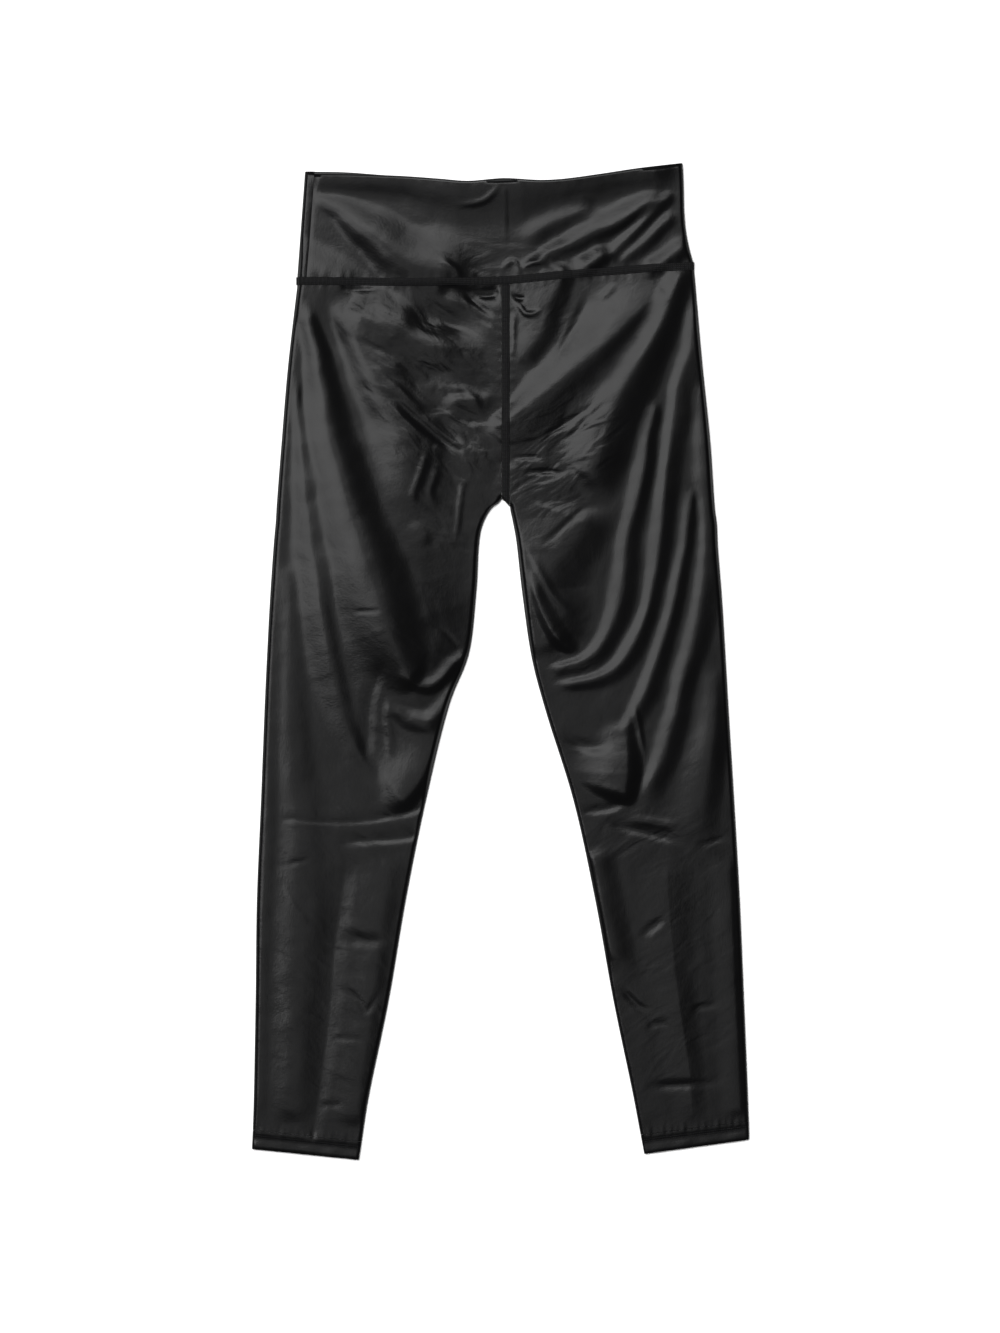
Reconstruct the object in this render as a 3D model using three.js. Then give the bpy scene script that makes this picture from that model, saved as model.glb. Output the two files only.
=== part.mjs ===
// High-waisted pull-on trousers of black coated stretch cloth, laid flat with the front up.
//
// Millimetres. +X is the wearer's left, +Y runs up towards the waist, +Z points away from the surface that
// the trousers lie on. The origin is under the middle of the laid garment, on that surface.
//
// Each leg is cut in one piece that wraps from the centre front round the outside of the leg to the centre
// back, and closes into a tube below the crotch. A deep doubled waistband has a front and a back, whose side
// seams lie a little forward of the left fold and behind the right one. Flat seams join band to legs and
// leg to leg, and each leg ends in a turned-up hem.

import * as THREE from 'three';
import { mergeVertices } from 'three/addons/utils/BufferGeometryUtils.js';

// Cloth
const LEG_CLOTH = 1.0; // one layer
const BAND_CLOTH = 1.6; // two layers
const HEM_CLOTH = 1.6; // two layers
const SEAM_CLOTH = 1.8; // lapped edges under the stitching
const SEAM_WIDTH = 7;
const GAP = 0.3; // between neighbouring pieces
const SEAM_PROUD = 0.5; // how far the seams stand above the cloth

// How the cloth lies
const LEG_EDGE = 3.0; // height of a leg's folded edge
const BAND_EDGE = 4.0;
const HEM_EDGE = 4.0;
const SEAM_EDGE = 4.4;
const ROLL = 17; // the upper layer comes up from its folded edge over this distance
const LIP_ROLL = 14; // and rises from the waist edge and the hems over this one
const CREASE_FADE = 9; // folds die out this close to a folded edge
const LEAST_AIR = 0.4; // between the layers

// Where the seams are
const CENTRE_X = 4.9; // the rise seam's centre line
const CROTCH = [ // lower end of the rise seam, along its two edges and middle
  { x: 1.4, y: 152.6 },
  { x: 4.9, y: 149.6 },
  { x: 8.4, y: 145.4 },
];
const HEM_DEPTH = 16.3;
const SIDE_SEAM_SHIFT = 9; // side seams lie this far from the folds
const BACK_PEEK = 2; // the back of the waistband shows above the front at the left corner

const SEAM_HALF = SEAM_WIDTH / 2;

// The waist seam's centre line, from the wearer's right to left.
const WAIST_SEAM = [
  { x: -192, y: 357.3 },
  { x: -128, y: 356.8 },
  { x: -76, y: 356.2 },
  { x: 5, y: 358.2 },
  { x: 67, y: 363.8 },
  { x: 110, y: 367 },
  { x: 144, y: 369.6 },
  { x: 182, y: 371.5 },
];

// The waistband's upper edge.
const WAIST_EDGE = [
  { x: -183.8, y: 457.6 },
  { x: -146, y: 457.2 },
  { x: -94, y: 455.4 },
  { x: -57, y: 452.8 },
  { x: -31, y: 450.8 },
  { x: 3, y: 453.4 },
  { x: 37, y: 451.6 },
  { x: 60, y: 452.8 },
  { x: 94, y: 457.4 },
  { x: 131, y: 463 },
  { x: 171, y: 467.65 },
];
const BAND_NIP = { right: 0, left: 3.6 }; // how far the band's sides curve in

// Stations down a leg: the outer fold, the inner edge (the rise seam, then the inseam) and the crown, which
// is how high the upper layer lies between its folded edges. rows: how many rings run to the next station.
const RIGHT_LEG = [
  { at: 'waist', outerX: -191, outerY: 353.5, innerX: 1.1, innerY: 354.4, crown: 5.6, rows: 4 },
  { at: 'hip', outerX: -200, outerY: 275, innerX: 1.1, innerY: 282, crown: 6.6, rows: 4 },
  { at: 'seat', outerX: -206, outerY: 203, innerX: 1.1, innerY: 209, crown: 6.8, rows: 3 },
  { at: 'crotch', outerX: -210.2, outerY: 149, innerX: 0.9, innerY: 152.6, crown: 6.4, rows: 1 },
  { at: 'arch', outerX: -211.3, outerY: 131, innerX: -9, innerY: 143, crown: 6.2, rows: 1 },
  { at: 'under arch', outerX: -213, outerY: 112, innerX: -18, innerY: 124, crown: 6, rows: 3 },
  { at: 'thigh', outerX: -216.7, outerY: 58, innerX: -22.6, innerY: 66, crown: 6, rows: 3 },
  { at: 'low thigh', outerX: -219.5, outerY: 5, innerX: -29.8, innerY: 7, crown: 5.6, rows: 2 },
  { at: 'above knee', outerX: -221.6, outerY: -40, innerX: -47.2, innerY: -38, crown: 5.6, rows: 4 },
  { at: 'knee', outerX: -225.1, outerY: -130, innerX: -70, innerY: -130, crown: 5.2, rows: 5 },
  { at: 'calf', outerX: -229, outerY: -224, innerX: -89, innerY: -224, crown: 4.8, rows: 4 },
  { at: 'low calf', outerX: -230.2, outerY: -318, innerX: -105, innerY: -318, crown: 4.6, rows: 4 },
  { at: 'ankle', outerX: -231.9, outerY: -410, innerX: -124.4, innerY: -412, crown: 4.6, rows: 2 },
  { at: 'hem seam', outerX: -232.8, outerY: -440.1, innerX: -130.4, innerY: -451, crown: 4.4, rows: 0 },
];
const LEFT_LEG = [
  { at: 'waist', outerX: 182, outerY: 367.7, innerX: 8.7, innerY: 354.6, crown: 5.6, rows: 4 },
  { at: 'hip', outerX: 189.5, outerY: 282, innerX: 8.7, innerY: 282, crown: 6.8, rows: 4 },
  { at: 'seat', outerX: 197.3, outerY: 205, innerX: 8.7, innerY: 209, crown: 7.2, rows: 3 },
  { at: 'crotch', outerX: 201.6, outerY: 143, innerX: 8.9, innerY: 145, crown: 6.6, rows: 1 },
  { at: 'arch', outerX: 203.4, outerY: 129, innerX: 11.2, innerY: 133, crown: 6.4, rows: 1 },
  { at: 'under arch', outerX: 204.2, outerY: 110, innerX: 14.4, innerY: 116, crown: 6.2, rows: 3 },
  { at: 'thigh', outerX: 208.2, outerY: 58, innerX: 20.4, innerY: 64, crown: 6.2, rows: 3 },
  { at: 'low thigh', outerX: 211.6, outerY: 2, innerX: 29.6, innerY: 2, crown: 5.8, rows: 2 },
  { at: 'above knee', outerX: 214.3, outerY: -45, innerX: 42, innerY: -45, crown: 5.6, rows: 4 },
  { at: 'knee', outerX: 219.5, outerY: -130, innerX: 68.4, innerY: -130, crown: 5.2, rows: 5 },
  { at: 'calf', outerX: 224.8, outerY: -224, innerX: 89, innerY: -224, crown: 4.8, rows: 4 },
  { at: 'low calf', outerX: 228.8, outerY: -318, innerX: 106, innerY: -318, crown: 4.6, rows: 4 },
  { at: 'ankle', outerX: 232.3, outerY: -404, innerX: 124.3, innerY: -406, crown: 4.6, rows: 2 },
  { at: 'hem seam', outerX: 233.3, outerY: -431.7, innerX: 131.6, innerY: -444.5, crown: 4.4, rows: 0 },
];
const CROTCH_STATION = 3;
const HEM_TURN = {
  right: { outerX: -233.6, outerY: -457.4, innerX: -133, innerY: -467.65 },
  left: { outerX: 233.6, outerY: -448.4, innerX: 134.9, innerY: -462 },
};

// The largest folds of the upper layer. rise: the crest's height, or a trough's depth if negative.
// left and right: how far the fold spreads to each hand of someone who walks along its path.
// start and end: the share of the path over which it grows and dies away.
const FOLDS = [
  { name: 'right hip, outer', rise: 2.6, left: 16, right: 14, start: 0.3, end: 0.3,
    path: [[-178, 325], [-180, 246], [-177, 152], [-166, 58], [-150, -27], [-124, -85]] },
  { name: 'right hip, main', rise: 4.6, left: 30, right: 30, start: 0.3, end: 0.25,
    path: [[-164, 320], [-146, 215], [-122, 118], [-101, 45], [-98, -8]] },
  { name: 'right knee swag', rise: 2.6, left: 10, right: 14, start: 0.25, end: 0.2,
    path: [[-110, -12], [-90, -20], [-68, -21], [-46, -7], [-32, 8]] },
  { name: 'right knee pouch', rise: 2.4, left: 18, right: 20, start: 0.3, end: 0.3,
    path: [[-112, -48], [-92, -60], [-68, -62], [-50, -46]] },
  { name: 'left seat, inner', rise: 3.2, left: 20, right: 14, start: 0.25, end: 0.2,
    path: [[96, 350], [86, 312], [60, 276], [24, 244]] },
  { name: 'left seat, outer', rise: 4.2, left: 16, right: 22, start: 0.25, end: 0.25,
    path: [[160, 352], [146, 318], [126, 280], [100, 246], [50, 218]] },
  { name: 'left swag, upper', rise: 3.6, left: 14, right: 18, start: 0.2, end: 0.15,
    path: [[184, 340], [168, 274], [148, 208], [132, 142], [119, 77], [103, 20], [72, -3], [36, -7]] },
  { name: 'left swag, lower', rise: 3.4, left: 12, right: 14, start: 0.25, end: 0.2,
    path: [[176, 270], [166, 208], [159, 133], [147, 67], [128, 17], [96, -14], [52, -22]] },
  { name: 'left outer, third', rise: 2.8, left: 12, right: 14, start: 0.3, end: 0.3,
    path: [[196, 246], [191, 180], [183, 114], [170, 48], [150, -5], [134, -32]] },
  { name: 'left knee, long', rise: 2.2, left: 14, right: 12, start: 0.3, end: 0.3,
    path: [[150, -36], [140, -80], [124, -110], [98, -134], [76, -138]] },
  { name: 'left knee pouch', rise: 2.6, left: 22, right: 22, start: 0.3, end: 0.3,
    path: [[122, -44], [108, -84], [86, -100], [72, -84]] },
  { name: 'right knee crease', rise: -1.6, left: 8, right: 12, start: 0.15, end: 0.1,
    path: [[-208, -147], [-151, -151], [-113, -147], [-74, -134]] },
  { name: 'right knee lap', rise: -1.4, left: 8, right: 12, start: 0.15, end: 0.1,
    path: [[-155, -170], [-118, -169], [-80, -164]] },
  { name: 'left knee crease', rise: -1.8, left: 12, right: 8, start: 0.15, end: 0.15,
    path: [[72, -139], [98, -151], [131, -161], [170, -171]] },
  { name: 'band, right diagonal', rise: -1.2, left: 16, right: 12, start: 0.2, end: 0.3,
    path: [[-166, 430], [-134, 400], [-96, 366]] },
  { name: 'band, left long', rise: 1.6, left: 16, right: 14, start: 0.3, end: 0.2,
    path: [[30, 374], [94, 414], [158, 440]] },
  { name: 'band, left short', rise: -1.4, left: 10, right: 10, start: 0.3, end: 0.2,
    path: [[104, 378], [136, 412], [166, 446]] },
];

// How fine the walls are
const TOP_STEPS = 20; // across a leg's upper layer
const BOTTOM_STEPS = 6; // across its flat lower layer
const BAND_TOP_STEPS = 30;
const BAND_BOTTOM_STEPS = 10;
const BAND_ROWS = 7;
const PATH_SAMPLES = 24; // points along each fold's path

const { clamp, lerp, smoothstep } = THREE.MathUtils;

function smoothCurve(points) {
  return new THREE.CatmullRomCurve3(points.map(([x, y, z = 0]) => new THREE.Vector3(x, y, z)), false, 'centripetal');
}

// y of a line that is given by points, at any x.
function lineHeight(points, x) {
  const last = points.length - 2;
  let i = 0;
  while (i < last && x > points[i + 1].x) i += 1;
  const before = points[Math.max(i - 1, 0)];
  const after = points[Math.min(i + 2, points.length - 1)];
  const [a, b] = [points[i], points[i + 1]];
  const span = b.x - a.x;
  const slopeA = (b.y - before.y) / (b.x - before.x);
  const slopeB = (after.y - a.y) / (after.x - a.x);
  const t = clamp((x - a.x) / span, 0, 1);
  const t2 = t * t;
  const t3 = t2 * t;
  return (2 * t3 - 3 * t2 + 1) * a.y + (t3 - 2 * t2 + t) * span * slopeA
    + (3 * t2 - 2 * t3) * b.y + (t3 - t2) * span * slopeB;
}

const foldPaths = FOLDS.map((fold) => ({ ...fold, samples: smoothCurve(fold.path).getSpacedPoints(PATH_SAMPLES) }));

// How far one fold lifts or lowers the upper layer at a point.
function foldLift(fold, x, y) {
  let best = { distance: Infinity, along: 0, side: 1 };
  for (let i = 0; i < PATH_SAMPLES; i += 1) {
    const [a, b] = [fold.samples[i], fold.samples[i + 1]];
    const [stepX, stepY] = [b.x - a.x, b.y - a.y];
    const share = clamp(((x - a.x) * stepX + (y - a.y) * stepY) / (stepX ** 2 + stepY ** 2), 0, 1);
    const [offX, offY] = [x - a.x - share * stepX, y - a.y - share * stepY];
    const distance = Math.hypot(offX, offY);
    if (distance < best.distance) {
      best = { distance, along: (i + share) / PATH_SAMPLES, side: Math.sign(stepX * offY - stepY * offX) };
    }
  }
  const spread = best.side > 0 ? fold.left : fold.right;
  if (best.distance >= spread) return 0;
  const grow = smoothstep(best.along, 0, fold.start) * smoothstep(1 - best.along, 0, fold.end);
  return fold.rise * grow * 0.5 * (1 + Math.cos((Math.PI * best.distance) / spread));
}

// Height of the upper layer's outer face. toFold: distance to the nearest folded edge.
function topHeight({ x, y, toFold, toLip = Infinity, edge, crown, cloth }) {
  const rollUp = Math.sin((Math.PI / 2) * clamp(toFold / ROLL, 0, 1));
  const lipUp = Math.sin((Math.PI / 2) * clamp(toLip / LIP_ROLL, 0, 1));
  const creases = foldPaths.reduce((sum, fold) => sum + foldLift(fold, x, y), 0);
  const height = edge + (crown - edge) * rollUp * lipUp + creases * smoothstep(toFold, 0, CREASE_FADE) * lipUp;
  return Math.max(height, 2 * cloth + LEAST_AIR);
}

// Half turn of cloth round a folded edge: points from the upper layer to the lower one.
// along: the fold's centre; outward: +1 or -1; reach and half: its radii.
function foldTurn({ along, outward, reach, middle, half, steps = 4 }) {
  return Array.from({ length: steps + 1 }, (_, i) => {
    const angle = (Math.PI * i) / steps;
    return { along: along + outward * reach * Math.sin(angle), z: middle + half * Math.cos(angle) };
  });
}

// One section of a flattened tube, from the inner edge over the top, round the outer fold and back.
// place(along) gives a plan point, top(along) the upper face. A closed section has an inner fold too.
function tubeSection({ width, cloth, edge, closed, place, top, topSteps, bottomSteps }) {
  const reach = edge / 2 + 0.3;
  const build = (inset) => {
    const turn = { reach: reach - inset, middle: edge / 2, half: edge / 2 - inset };
    const outer = foldTurn({ along: width - reach, outward: 1, ...turn });
    const inner = foldTurn({ along: reach, outward: -1, ...turn });
    const upper = Array.from({ length: topSteps + 1 }, (_, i) => {
      const along = lerp(reach, width - reach, i / topSteps);
      return { along, z: top(along) - inset };
    });
    const lower = Array.from({ length: bottomSteps + 1 }, (_, i) => (
      { along: lerp(width - reach, reach, i / bottomSteps), z: inset }
    ));
    const half = 2; // an inner fold is shared between the section's two ends
    const startTurn = closed ? inner.slice(1, half + 1).reverse() : openEnd(reach, half, (along) => top(along) - inset);
    const endTurn = (closed ? inner.slice(half, 2 * half) : openEnd(reach, half, () => inset)).reverse();
    return [...startTurn, ...upper, ...outer.slice(1, -1), ...lower, ...endTurn];
  };
  const toPoints = (ring) => ring.map(({ along, z }) => [...place(along), z]);
  return { outer: toPoints(build(0)), inner: toPoints(build(cloth)), closed };
}

// The points that stand in for half of an inner fold where the section is open.
function openEnd(reach, count, height) {
  return Array.from({ length: count }, (_, i) => {
    const along = (reach * i) / count;
    return { along, z: height(along) };
  });
}

// A closed wall between an outer and an inner sheet of points, given section by section.
// Where two neighbouring sections are closed their ends meet; elsewhere the wall has raw ends.
function clothWall(sections) {
  const positions = [];
  const quad = (a, b, c, d) => positions.push(...a, ...b, ...c, ...a, ...c, ...d);
  const last = sections[0].outer.length - 1;
  for (let row = 0; row + 1 < sections.length; row += 1) {
    const [upper, lower] = [sections[row], sections[row + 1]];
    for (let i = 0; i < last; i += 1) {
      quad(upper.outer[i], lower.outer[i], lower.outer[i + 1], upper.outer[i + 1]);
      quad(upper.inner[i], upper.inner[i + 1], lower.inner[i + 1], lower.inner[i]);
    }
    if (!(upper.closed && lower.closed)) {
      quad(upper.outer[0], upper.inner[0], lower.inner[0], lower.outer[0]);
      quad(upper.outer[last], lower.outer[last], lower.inner[last], upper.inner[last]);
    }
  }
  const [first, final] = [sections[0], sections[sections.length - 1]];
  for (let i = 0; i < last; i += 1) {
    quad(first.outer[i], first.outer[i + 1], first.inner[i + 1], first.inner[i]);
    quad(final.outer[i], final.inner[i], final.inner[i + 1], final.outer[i + 1]);
  }
  return outwards(positions);
}

// A geometry from loose triangles, with its faces turned outwards.
function outwards(positions) {
  const loose = new THREE.BufferGeometry();
  loose.setAttribute('position', new THREE.Float32BufferAttribute(positions, 3));
  const geometry = mergeVertices(loose, 1e-4);
  if (signedVolume(geometry) < 0) {
    const { array } = geometry.index;
    for (let i = 0; i < array.length; i += 3) [array[i + 1], array[i + 2]] = [array[i + 2], array[i + 1]];
  }
  geometry.computeVertexNormals();
  return geometry;
}

function signedVolume(geometry) {
  const position = geometry.getAttribute('position');
  const { array } = geometry.index;
  const corners = [new THREE.Vector3(), new THREE.Vector3(), new THREE.Vector3()];
  let six = 0;
  for (let i = 0; i < array.length; i += 3) {
    corners.forEach((corner, k) => corner.fromBufferAttribute(position, array[i + k]));
    six += corners[0].dot(corners[1].clone().cross(corners[2]));
  }
  return six;
}

// The stations of a leg as smooth rings: edges and crown at each.
function legRings(stations) {
  const outer = smoothCurve(stations.map((s) => [s.outerX, s.outerY]));
  const inner = smoothCurve(stations.map((s) => [s.innerX, s.innerY]));
  const rings = [];
  stations.slice(0, -1).forEach((station, i) => {
    for (let k = 0; k < station.rows; k += 1) rings.push(ringAt(stations, outer, inner, i + k / station.rows));
  });
  rings.push(ringAt(stations, outer, inner, stations.length - 1));
  return rings;
}

function ringAt(stations, outer, inner, place) {
  const t = place / (stations.length - 1);
  const index = Math.min(Math.floor(place), stations.length - 2);
  const [above, below] = [stations[index], stations[index + 1]];
  const crown = lerp(above.crown, below.crown, place - index);
  const innerEdge = inner.getPoint(t);
  if (place < CROTCH_STATION) { // beside the rise seam the edge is cut straight
    innerEdge.set(lerp(above.innerX, below.innerX, place - index), lerp(above.innerY, below.innerY, place - index), 0);
  }
  return { outer: outer.getPoint(t), inner: innerEdge, crown, place };
}

function legPanel(stations) {
  const rings = legRings(stations);
  const waist = rings[0];
  const sections = rings.map((ring) => {
    const width = ring.outer.distanceTo(ring.inner);
    const closed = ring.place >= CROTCH_STATION;
    const towardsWaist = (1 - clamp(ring.place / 2, 0, 1)) ** 2;
    // The top ring follows the waist seam, and the pull fades out by the seat.
    const place = (along) => {
      const share = along / width;
      const atWaist = { x: lerp(waist.inner.x, waist.outer.x, share), y: lerp(waist.inner.y, waist.outer.y, share) };
      const pull = lineHeight(WAIST_SEAM, atWaist.x) - SEAM_HALF - GAP - atWaist.y;
      return [lerp(ring.inner.x, ring.outer.x, share), lerp(ring.inner.y, ring.outer.y, share) + pull * towardsWaist];
    };
    const top = (along) => {
      const [x, y] = place(along);
      const toInner = closed ? along : Math.hypot(x - CROTCH[1].x, y - CROTCH[1].y);
      const toFold = Math.min(width - along, toInner);
      return topHeight({ x, y, toFold, edge: LEG_EDGE, crown: ring.crown, cloth: LEG_CLOTH });
    };
    return tubeSection({
      width, cloth: LEG_CLOTH, edge: LEG_EDGE, closed, place, top, topSteps: TOP_STEPS, bottomSteps: BOTTOM_STEPS,
    });
  });
  return clothWall(sections);
}

// A turned-up hem: a doubled ring below the leg's last one.
function hemRing(stations, turn) {
  const end = stations[stations.length - 1];
  const sections = [0, 0.4, 0.8, 1].map((share) => {
    const mix = (from, to) => lerp(from, to, share);
    const outer = new THREE.Vector2(mix(end.outerX, turn.outerX), mix(end.outerY, turn.outerY));
    const inner = new THREE.Vector2(mix(end.innerX, turn.innerX), mix(end.innerY, turn.innerY));
    if (share === 0) {
      outer.y -= GAP;
      inner.y -= GAP;
    }
    const width = outer.distanceTo(inner);
    const place = (along) => [lerp(inner.x, outer.x, along / width), lerp(inner.y, outer.y, along / width)];
    const top = (along) => {
      const [x, y] = place(along);
      const toLip = Math.max((1 - share) * HEM_DEPTH, LIP_ROLL / 4);
      return topHeight({
        x, y, toFold: Math.min(along, width - along), toLip, edge: HEM_EDGE, crown: end.crown + SEAM_PROUD, cloth: HEM_CLOTH,
      });
    };
    return tubeSection({
      width, cloth: HEM_CLOTH, edge: HEM_EDGE, closed: true, place, top, topSteps: TOP_STEPS, bottomSteps: BOTTOM_STEPS,
    });
  });
  return clothWall(sections);
}

// Plan of the waistband: across 0 to 1 from the wearer's right to left, down 0 to 1 from edge to seam.
function bandPoint(across, down, peek = 0) {
  const first = WAIST_EDGE[0];
  const end = WAIST_EDGE[WAIST_EDGE.length - 1];
  const edgeX = lerp(first.x, end.x, across);
  const seamX = lerp(WAIST_SEAM[0].x + 1, WAIST_SEAM[WAIST_SEAM.length - 1].x - 1, across);
  const nip = Math.sin(Math.PI * down ** 1.5) * (BAND_NIP.right * (1 - across) ** 4 - BAND_NIP.left * across ** 4);
  const lift = peek * (1 - down) * smoothstep(1 - across, 0.75, 0.92);
  const edgeY = lineHeight(WAIST_EDGE, edgeX) + lift;
  return [lerp(edgeX, seamX, down) + nip, lerp(edgeY, lineHeight(WAIST_SEAM, seamX) + SEAM_HALF + GAP, down)];
}

// One panel of the waistband. The front runs over the top and round the left fold, the back under and
// round the right one.
function bandPanel(isFront) {
  const sections = Array.from({ length: BAND_ROWS }, (_, row) => {
    const down = row / (BAND_ROWS - 1);
    const peek = isFront ? 0 : BACK_PEEK;
    const [startX, startY] = bandPoint(0, down, peek);
    const [endX, endY] = bandPoint(1, down, peek);
    const width = Math.hypot(endX - startX, endY - startY);
    const depth = lineHeight(WAIST_EDGE, 0) - lineHeight(WAIST_SEAM, 0);
    const top = (along) => {
      const [x, y] = bandPoint(along / width, down, peek);
      const toLip = Math.max(down * depth, LIP_ROLL / 5);
      return topHeight({
        x, y, toFold: Math.min(along, width - along), toLip, edge: BAND_EDGE, crown: 6.2, cloth: BAND_CLOTH,
      });
    };
    const reach = BAND_EDGE / 2 + 0.3;
    const build = (inset) => {
      const turn = { reach: reach - inset, middle: BAND_EDGE / 2, half: BAND_EDGE / 2 - inset };
      const nearSeam = SIDE_SEAM_SHIFT + GAP / 2;
      const pastSeam = SIDE_SEAM_SHIFT - GAP / 2;
      const over = (from, to, steps) => Array.from({ length: steps + 1 }, (__, i) => {
        const along = lerp(from, to, i / steps);
        return { along, z: top(along) - inset };
      });
      const under = (from, to, steps) => Array.from({ length: steps + 1 }, (__, i) => (
        { along: lerp(from, to, i / steps), z: inset }
      ));
      if (isFront) {
        const leftTurn = foldTurn({ along: width - reach, outward: 1, ...turn }).slice(1, -1);
        return [
          ...over(nearSeam, width - reach, BAND_TOP_STEPS), ...leftTurn, ...under(width - reach, width - pastSeam, 1),
        ];
      }
      const rightTurn = foldTurn({ along: reach, outward: -1, ...turn }).slice(1, -1).reverse();
      return [
        ...under(width - nearSeam, reach, BAND_BOTTOM_STEPS), ...rightTurn, ...over(reach, pastSeam, 1),
      ];
    };
    const toPoints = (ring) => ring.map(({ along, z }) => [...bandPoint(along / width, down, peek), z]);
    return { outer: toPoints(build(0)), inner: toPoints(build(BAND_CLOTH)), closed: false };
  });
  return clothWall(sections);
}

// The flat seam round the garment between waistband and legs.
function waistSeam() {
  const sections = [1, -1].map((side) => {
    const [from, to] = [WAIST_SEAM[0].x, WAIST_SEAM[WAIST_SEAM.length - 1].x];
    const width = to - from;
    const place = (along) => [from + along, lineHeight(WAIST_SEAM, from + along) + side * SEAM_HALF];
    const top = (along) => {
      const [x, y] = place(along);
      const toFold = Math.min(along, width - along);
      return topHeight({ x, y, toFold, edge: SEAM_EDGE - SEAM_PROUD, crown: 5.9, cloth: SEAM_CLOTH }) + SEAM_PROUD;
    };
    return tubeSection({
      width, cloth: SEAM_CLOTH, edge: SEAM_EDGE, closed: true, place, top, topSteps: BAND_TOP_STEPS, bottomSteps: BAND_BOTTOM_STEPS,
    });
  });
  return clothWall(sections);
}

// The rise seam: down the centre front, round the crotch and up the centre back.
function riseSeam() {
  const seamTop = lineHeight(WAIST_SEAM, CENTRE_X) - SEAM_HALF - GAP;
  const sections = CROTCH.map(({ x, y: crotchY }) => {
    const length = seamTop - GAP - crotchY;
    const place = (along) => [x, seamTop - GAP - along];
    const top = (along) => {
      const y = place(along)[1];
      return topHeight({ x, y, toFold: length - along, edge: LEG_EDGE, crown: 6.4, cloth: SEAM_CLOTH }) + SEAM_PROUD;
    };
    return tubeSection({
      width: length, cloth: SEAM_CLOTH, edge: SEAM_EDGE, closed: false, place, top, topSteps: 12, bottomSteps: 4,
    });
  });
  return clothWall(sections);
}

const leather = new THREE.MeshStandardMaterial({ color: 0x1c1c1d, roughness: 0.38, metalness: 0 });
const thread = new THREE.MeshStandardMaterial({ color: 0x0e0e0f, roughness: 0.8, metalness: 0 });

const garment = new THREE.Group();
function addPiece(name, geometry, material) {
  const mesh = new THREE.Mesh(geometry, material);
  mesh.name = name;
  garment.add(mesh);
}
addPiece('leg_right', legPanel(RIGHT_LEG), leather);
addPiece('leg_left', legPanel(LEFT_LEG), leather);
addPiece('waistband_front', bandPanel(true), leather);
addPiece('waistband_back', bandPanel(false), leather);
addPiece('waist_seam', waistSeam(), thread);
addPiece('rise_seam', riseSeam(), thread);
addPiece('hem_right', hemRing(RIGHT_LEG, HEM_TURN.right), leather);
addPiece('hem_left', hemRing(LEFT_LEG, HEM_TURN.left), leather);

export default garment;
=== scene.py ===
"""Looks of high-waisted pull-on trousers of black coated stretch cloth, laid flat with the front up.

The frame is in metres, +Z up, +Y towards the waist and +X towards the wearer's left. Sizes and tables are in
millimetres, and MM turns them into metres where a mesh is made.
"""

import math
from collections import namedtuple

import bmesh
import bpy
import numpy as np
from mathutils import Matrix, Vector


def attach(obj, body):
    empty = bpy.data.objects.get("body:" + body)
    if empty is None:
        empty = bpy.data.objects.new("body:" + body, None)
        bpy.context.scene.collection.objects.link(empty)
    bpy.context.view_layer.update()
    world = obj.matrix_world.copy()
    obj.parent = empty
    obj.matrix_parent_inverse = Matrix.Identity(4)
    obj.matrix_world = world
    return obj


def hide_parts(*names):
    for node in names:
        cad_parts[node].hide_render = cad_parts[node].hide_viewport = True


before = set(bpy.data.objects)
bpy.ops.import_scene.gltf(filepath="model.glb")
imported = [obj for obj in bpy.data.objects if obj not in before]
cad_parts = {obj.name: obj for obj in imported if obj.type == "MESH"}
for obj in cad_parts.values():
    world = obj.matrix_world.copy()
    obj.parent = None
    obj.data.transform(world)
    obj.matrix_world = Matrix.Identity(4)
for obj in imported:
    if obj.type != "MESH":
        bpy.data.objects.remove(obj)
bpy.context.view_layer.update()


def fineness(full):
    return full


MM = 0.001

# Fineness of the meshes
GRID = fineness(1.9)  # between points down a leg
LEG_ACROSS = fineness(110)
HEM_ACROSS = fineness(100)
HEM_ROWS = fineness(11)
BAND_ACROSS = fineness(190)
BAND_ROWS = fineness(52)
SEAM_ROWS = fineness(9)
WAIST_SEAM_STEPS = fineness(400)
RISE_SEAM_STEPS = fineness(220)
STITCH_STEPS = 150  # along a seam, for the line of its stitches
HEM_LINE_STEPS = 60
INNER_STEP = 3  # the inner face of a leg has one row for this many of the outer one
UNDER_STEP = 5  # the under layer of a tube has one column for this many of the upper one
BAND_UNDER_STEP = 4
BAND_TAIL_STEPS = {"front": 2, "back": 4}  # across the short turned ends of the waistband
PATH_STEPS = 6  # between two points of a fold's path
TURN_STEPS = 6  # round a folded edge
LIP_STEPS = 5  # round a lip
FOLD_SAMPLES = 2000  # along a leg's outer fold, to space its rows evenly
WELD = 0.02  # points closer than this become one
SHARP_EDGE = 62  # degrees between faces from which an edge stays sharp
EPSILON = 1e-9  # against division by nothing
STATION_SLACK = 1e-6  # for rounding in a place down a leg

# Cloth
LEG_CLOTH = 1.0
BAND_CLOTH = 1.6  # two layers
HEM_CLOTH = 1.6
SEAM_CLOTH = 1.8
SEAM_WIDTH = 7.0
GAP = 0.3  # between neighbouring pieces
SEAM_PROUD = 0.2  # hems and seams stand this much above the legs

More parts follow.
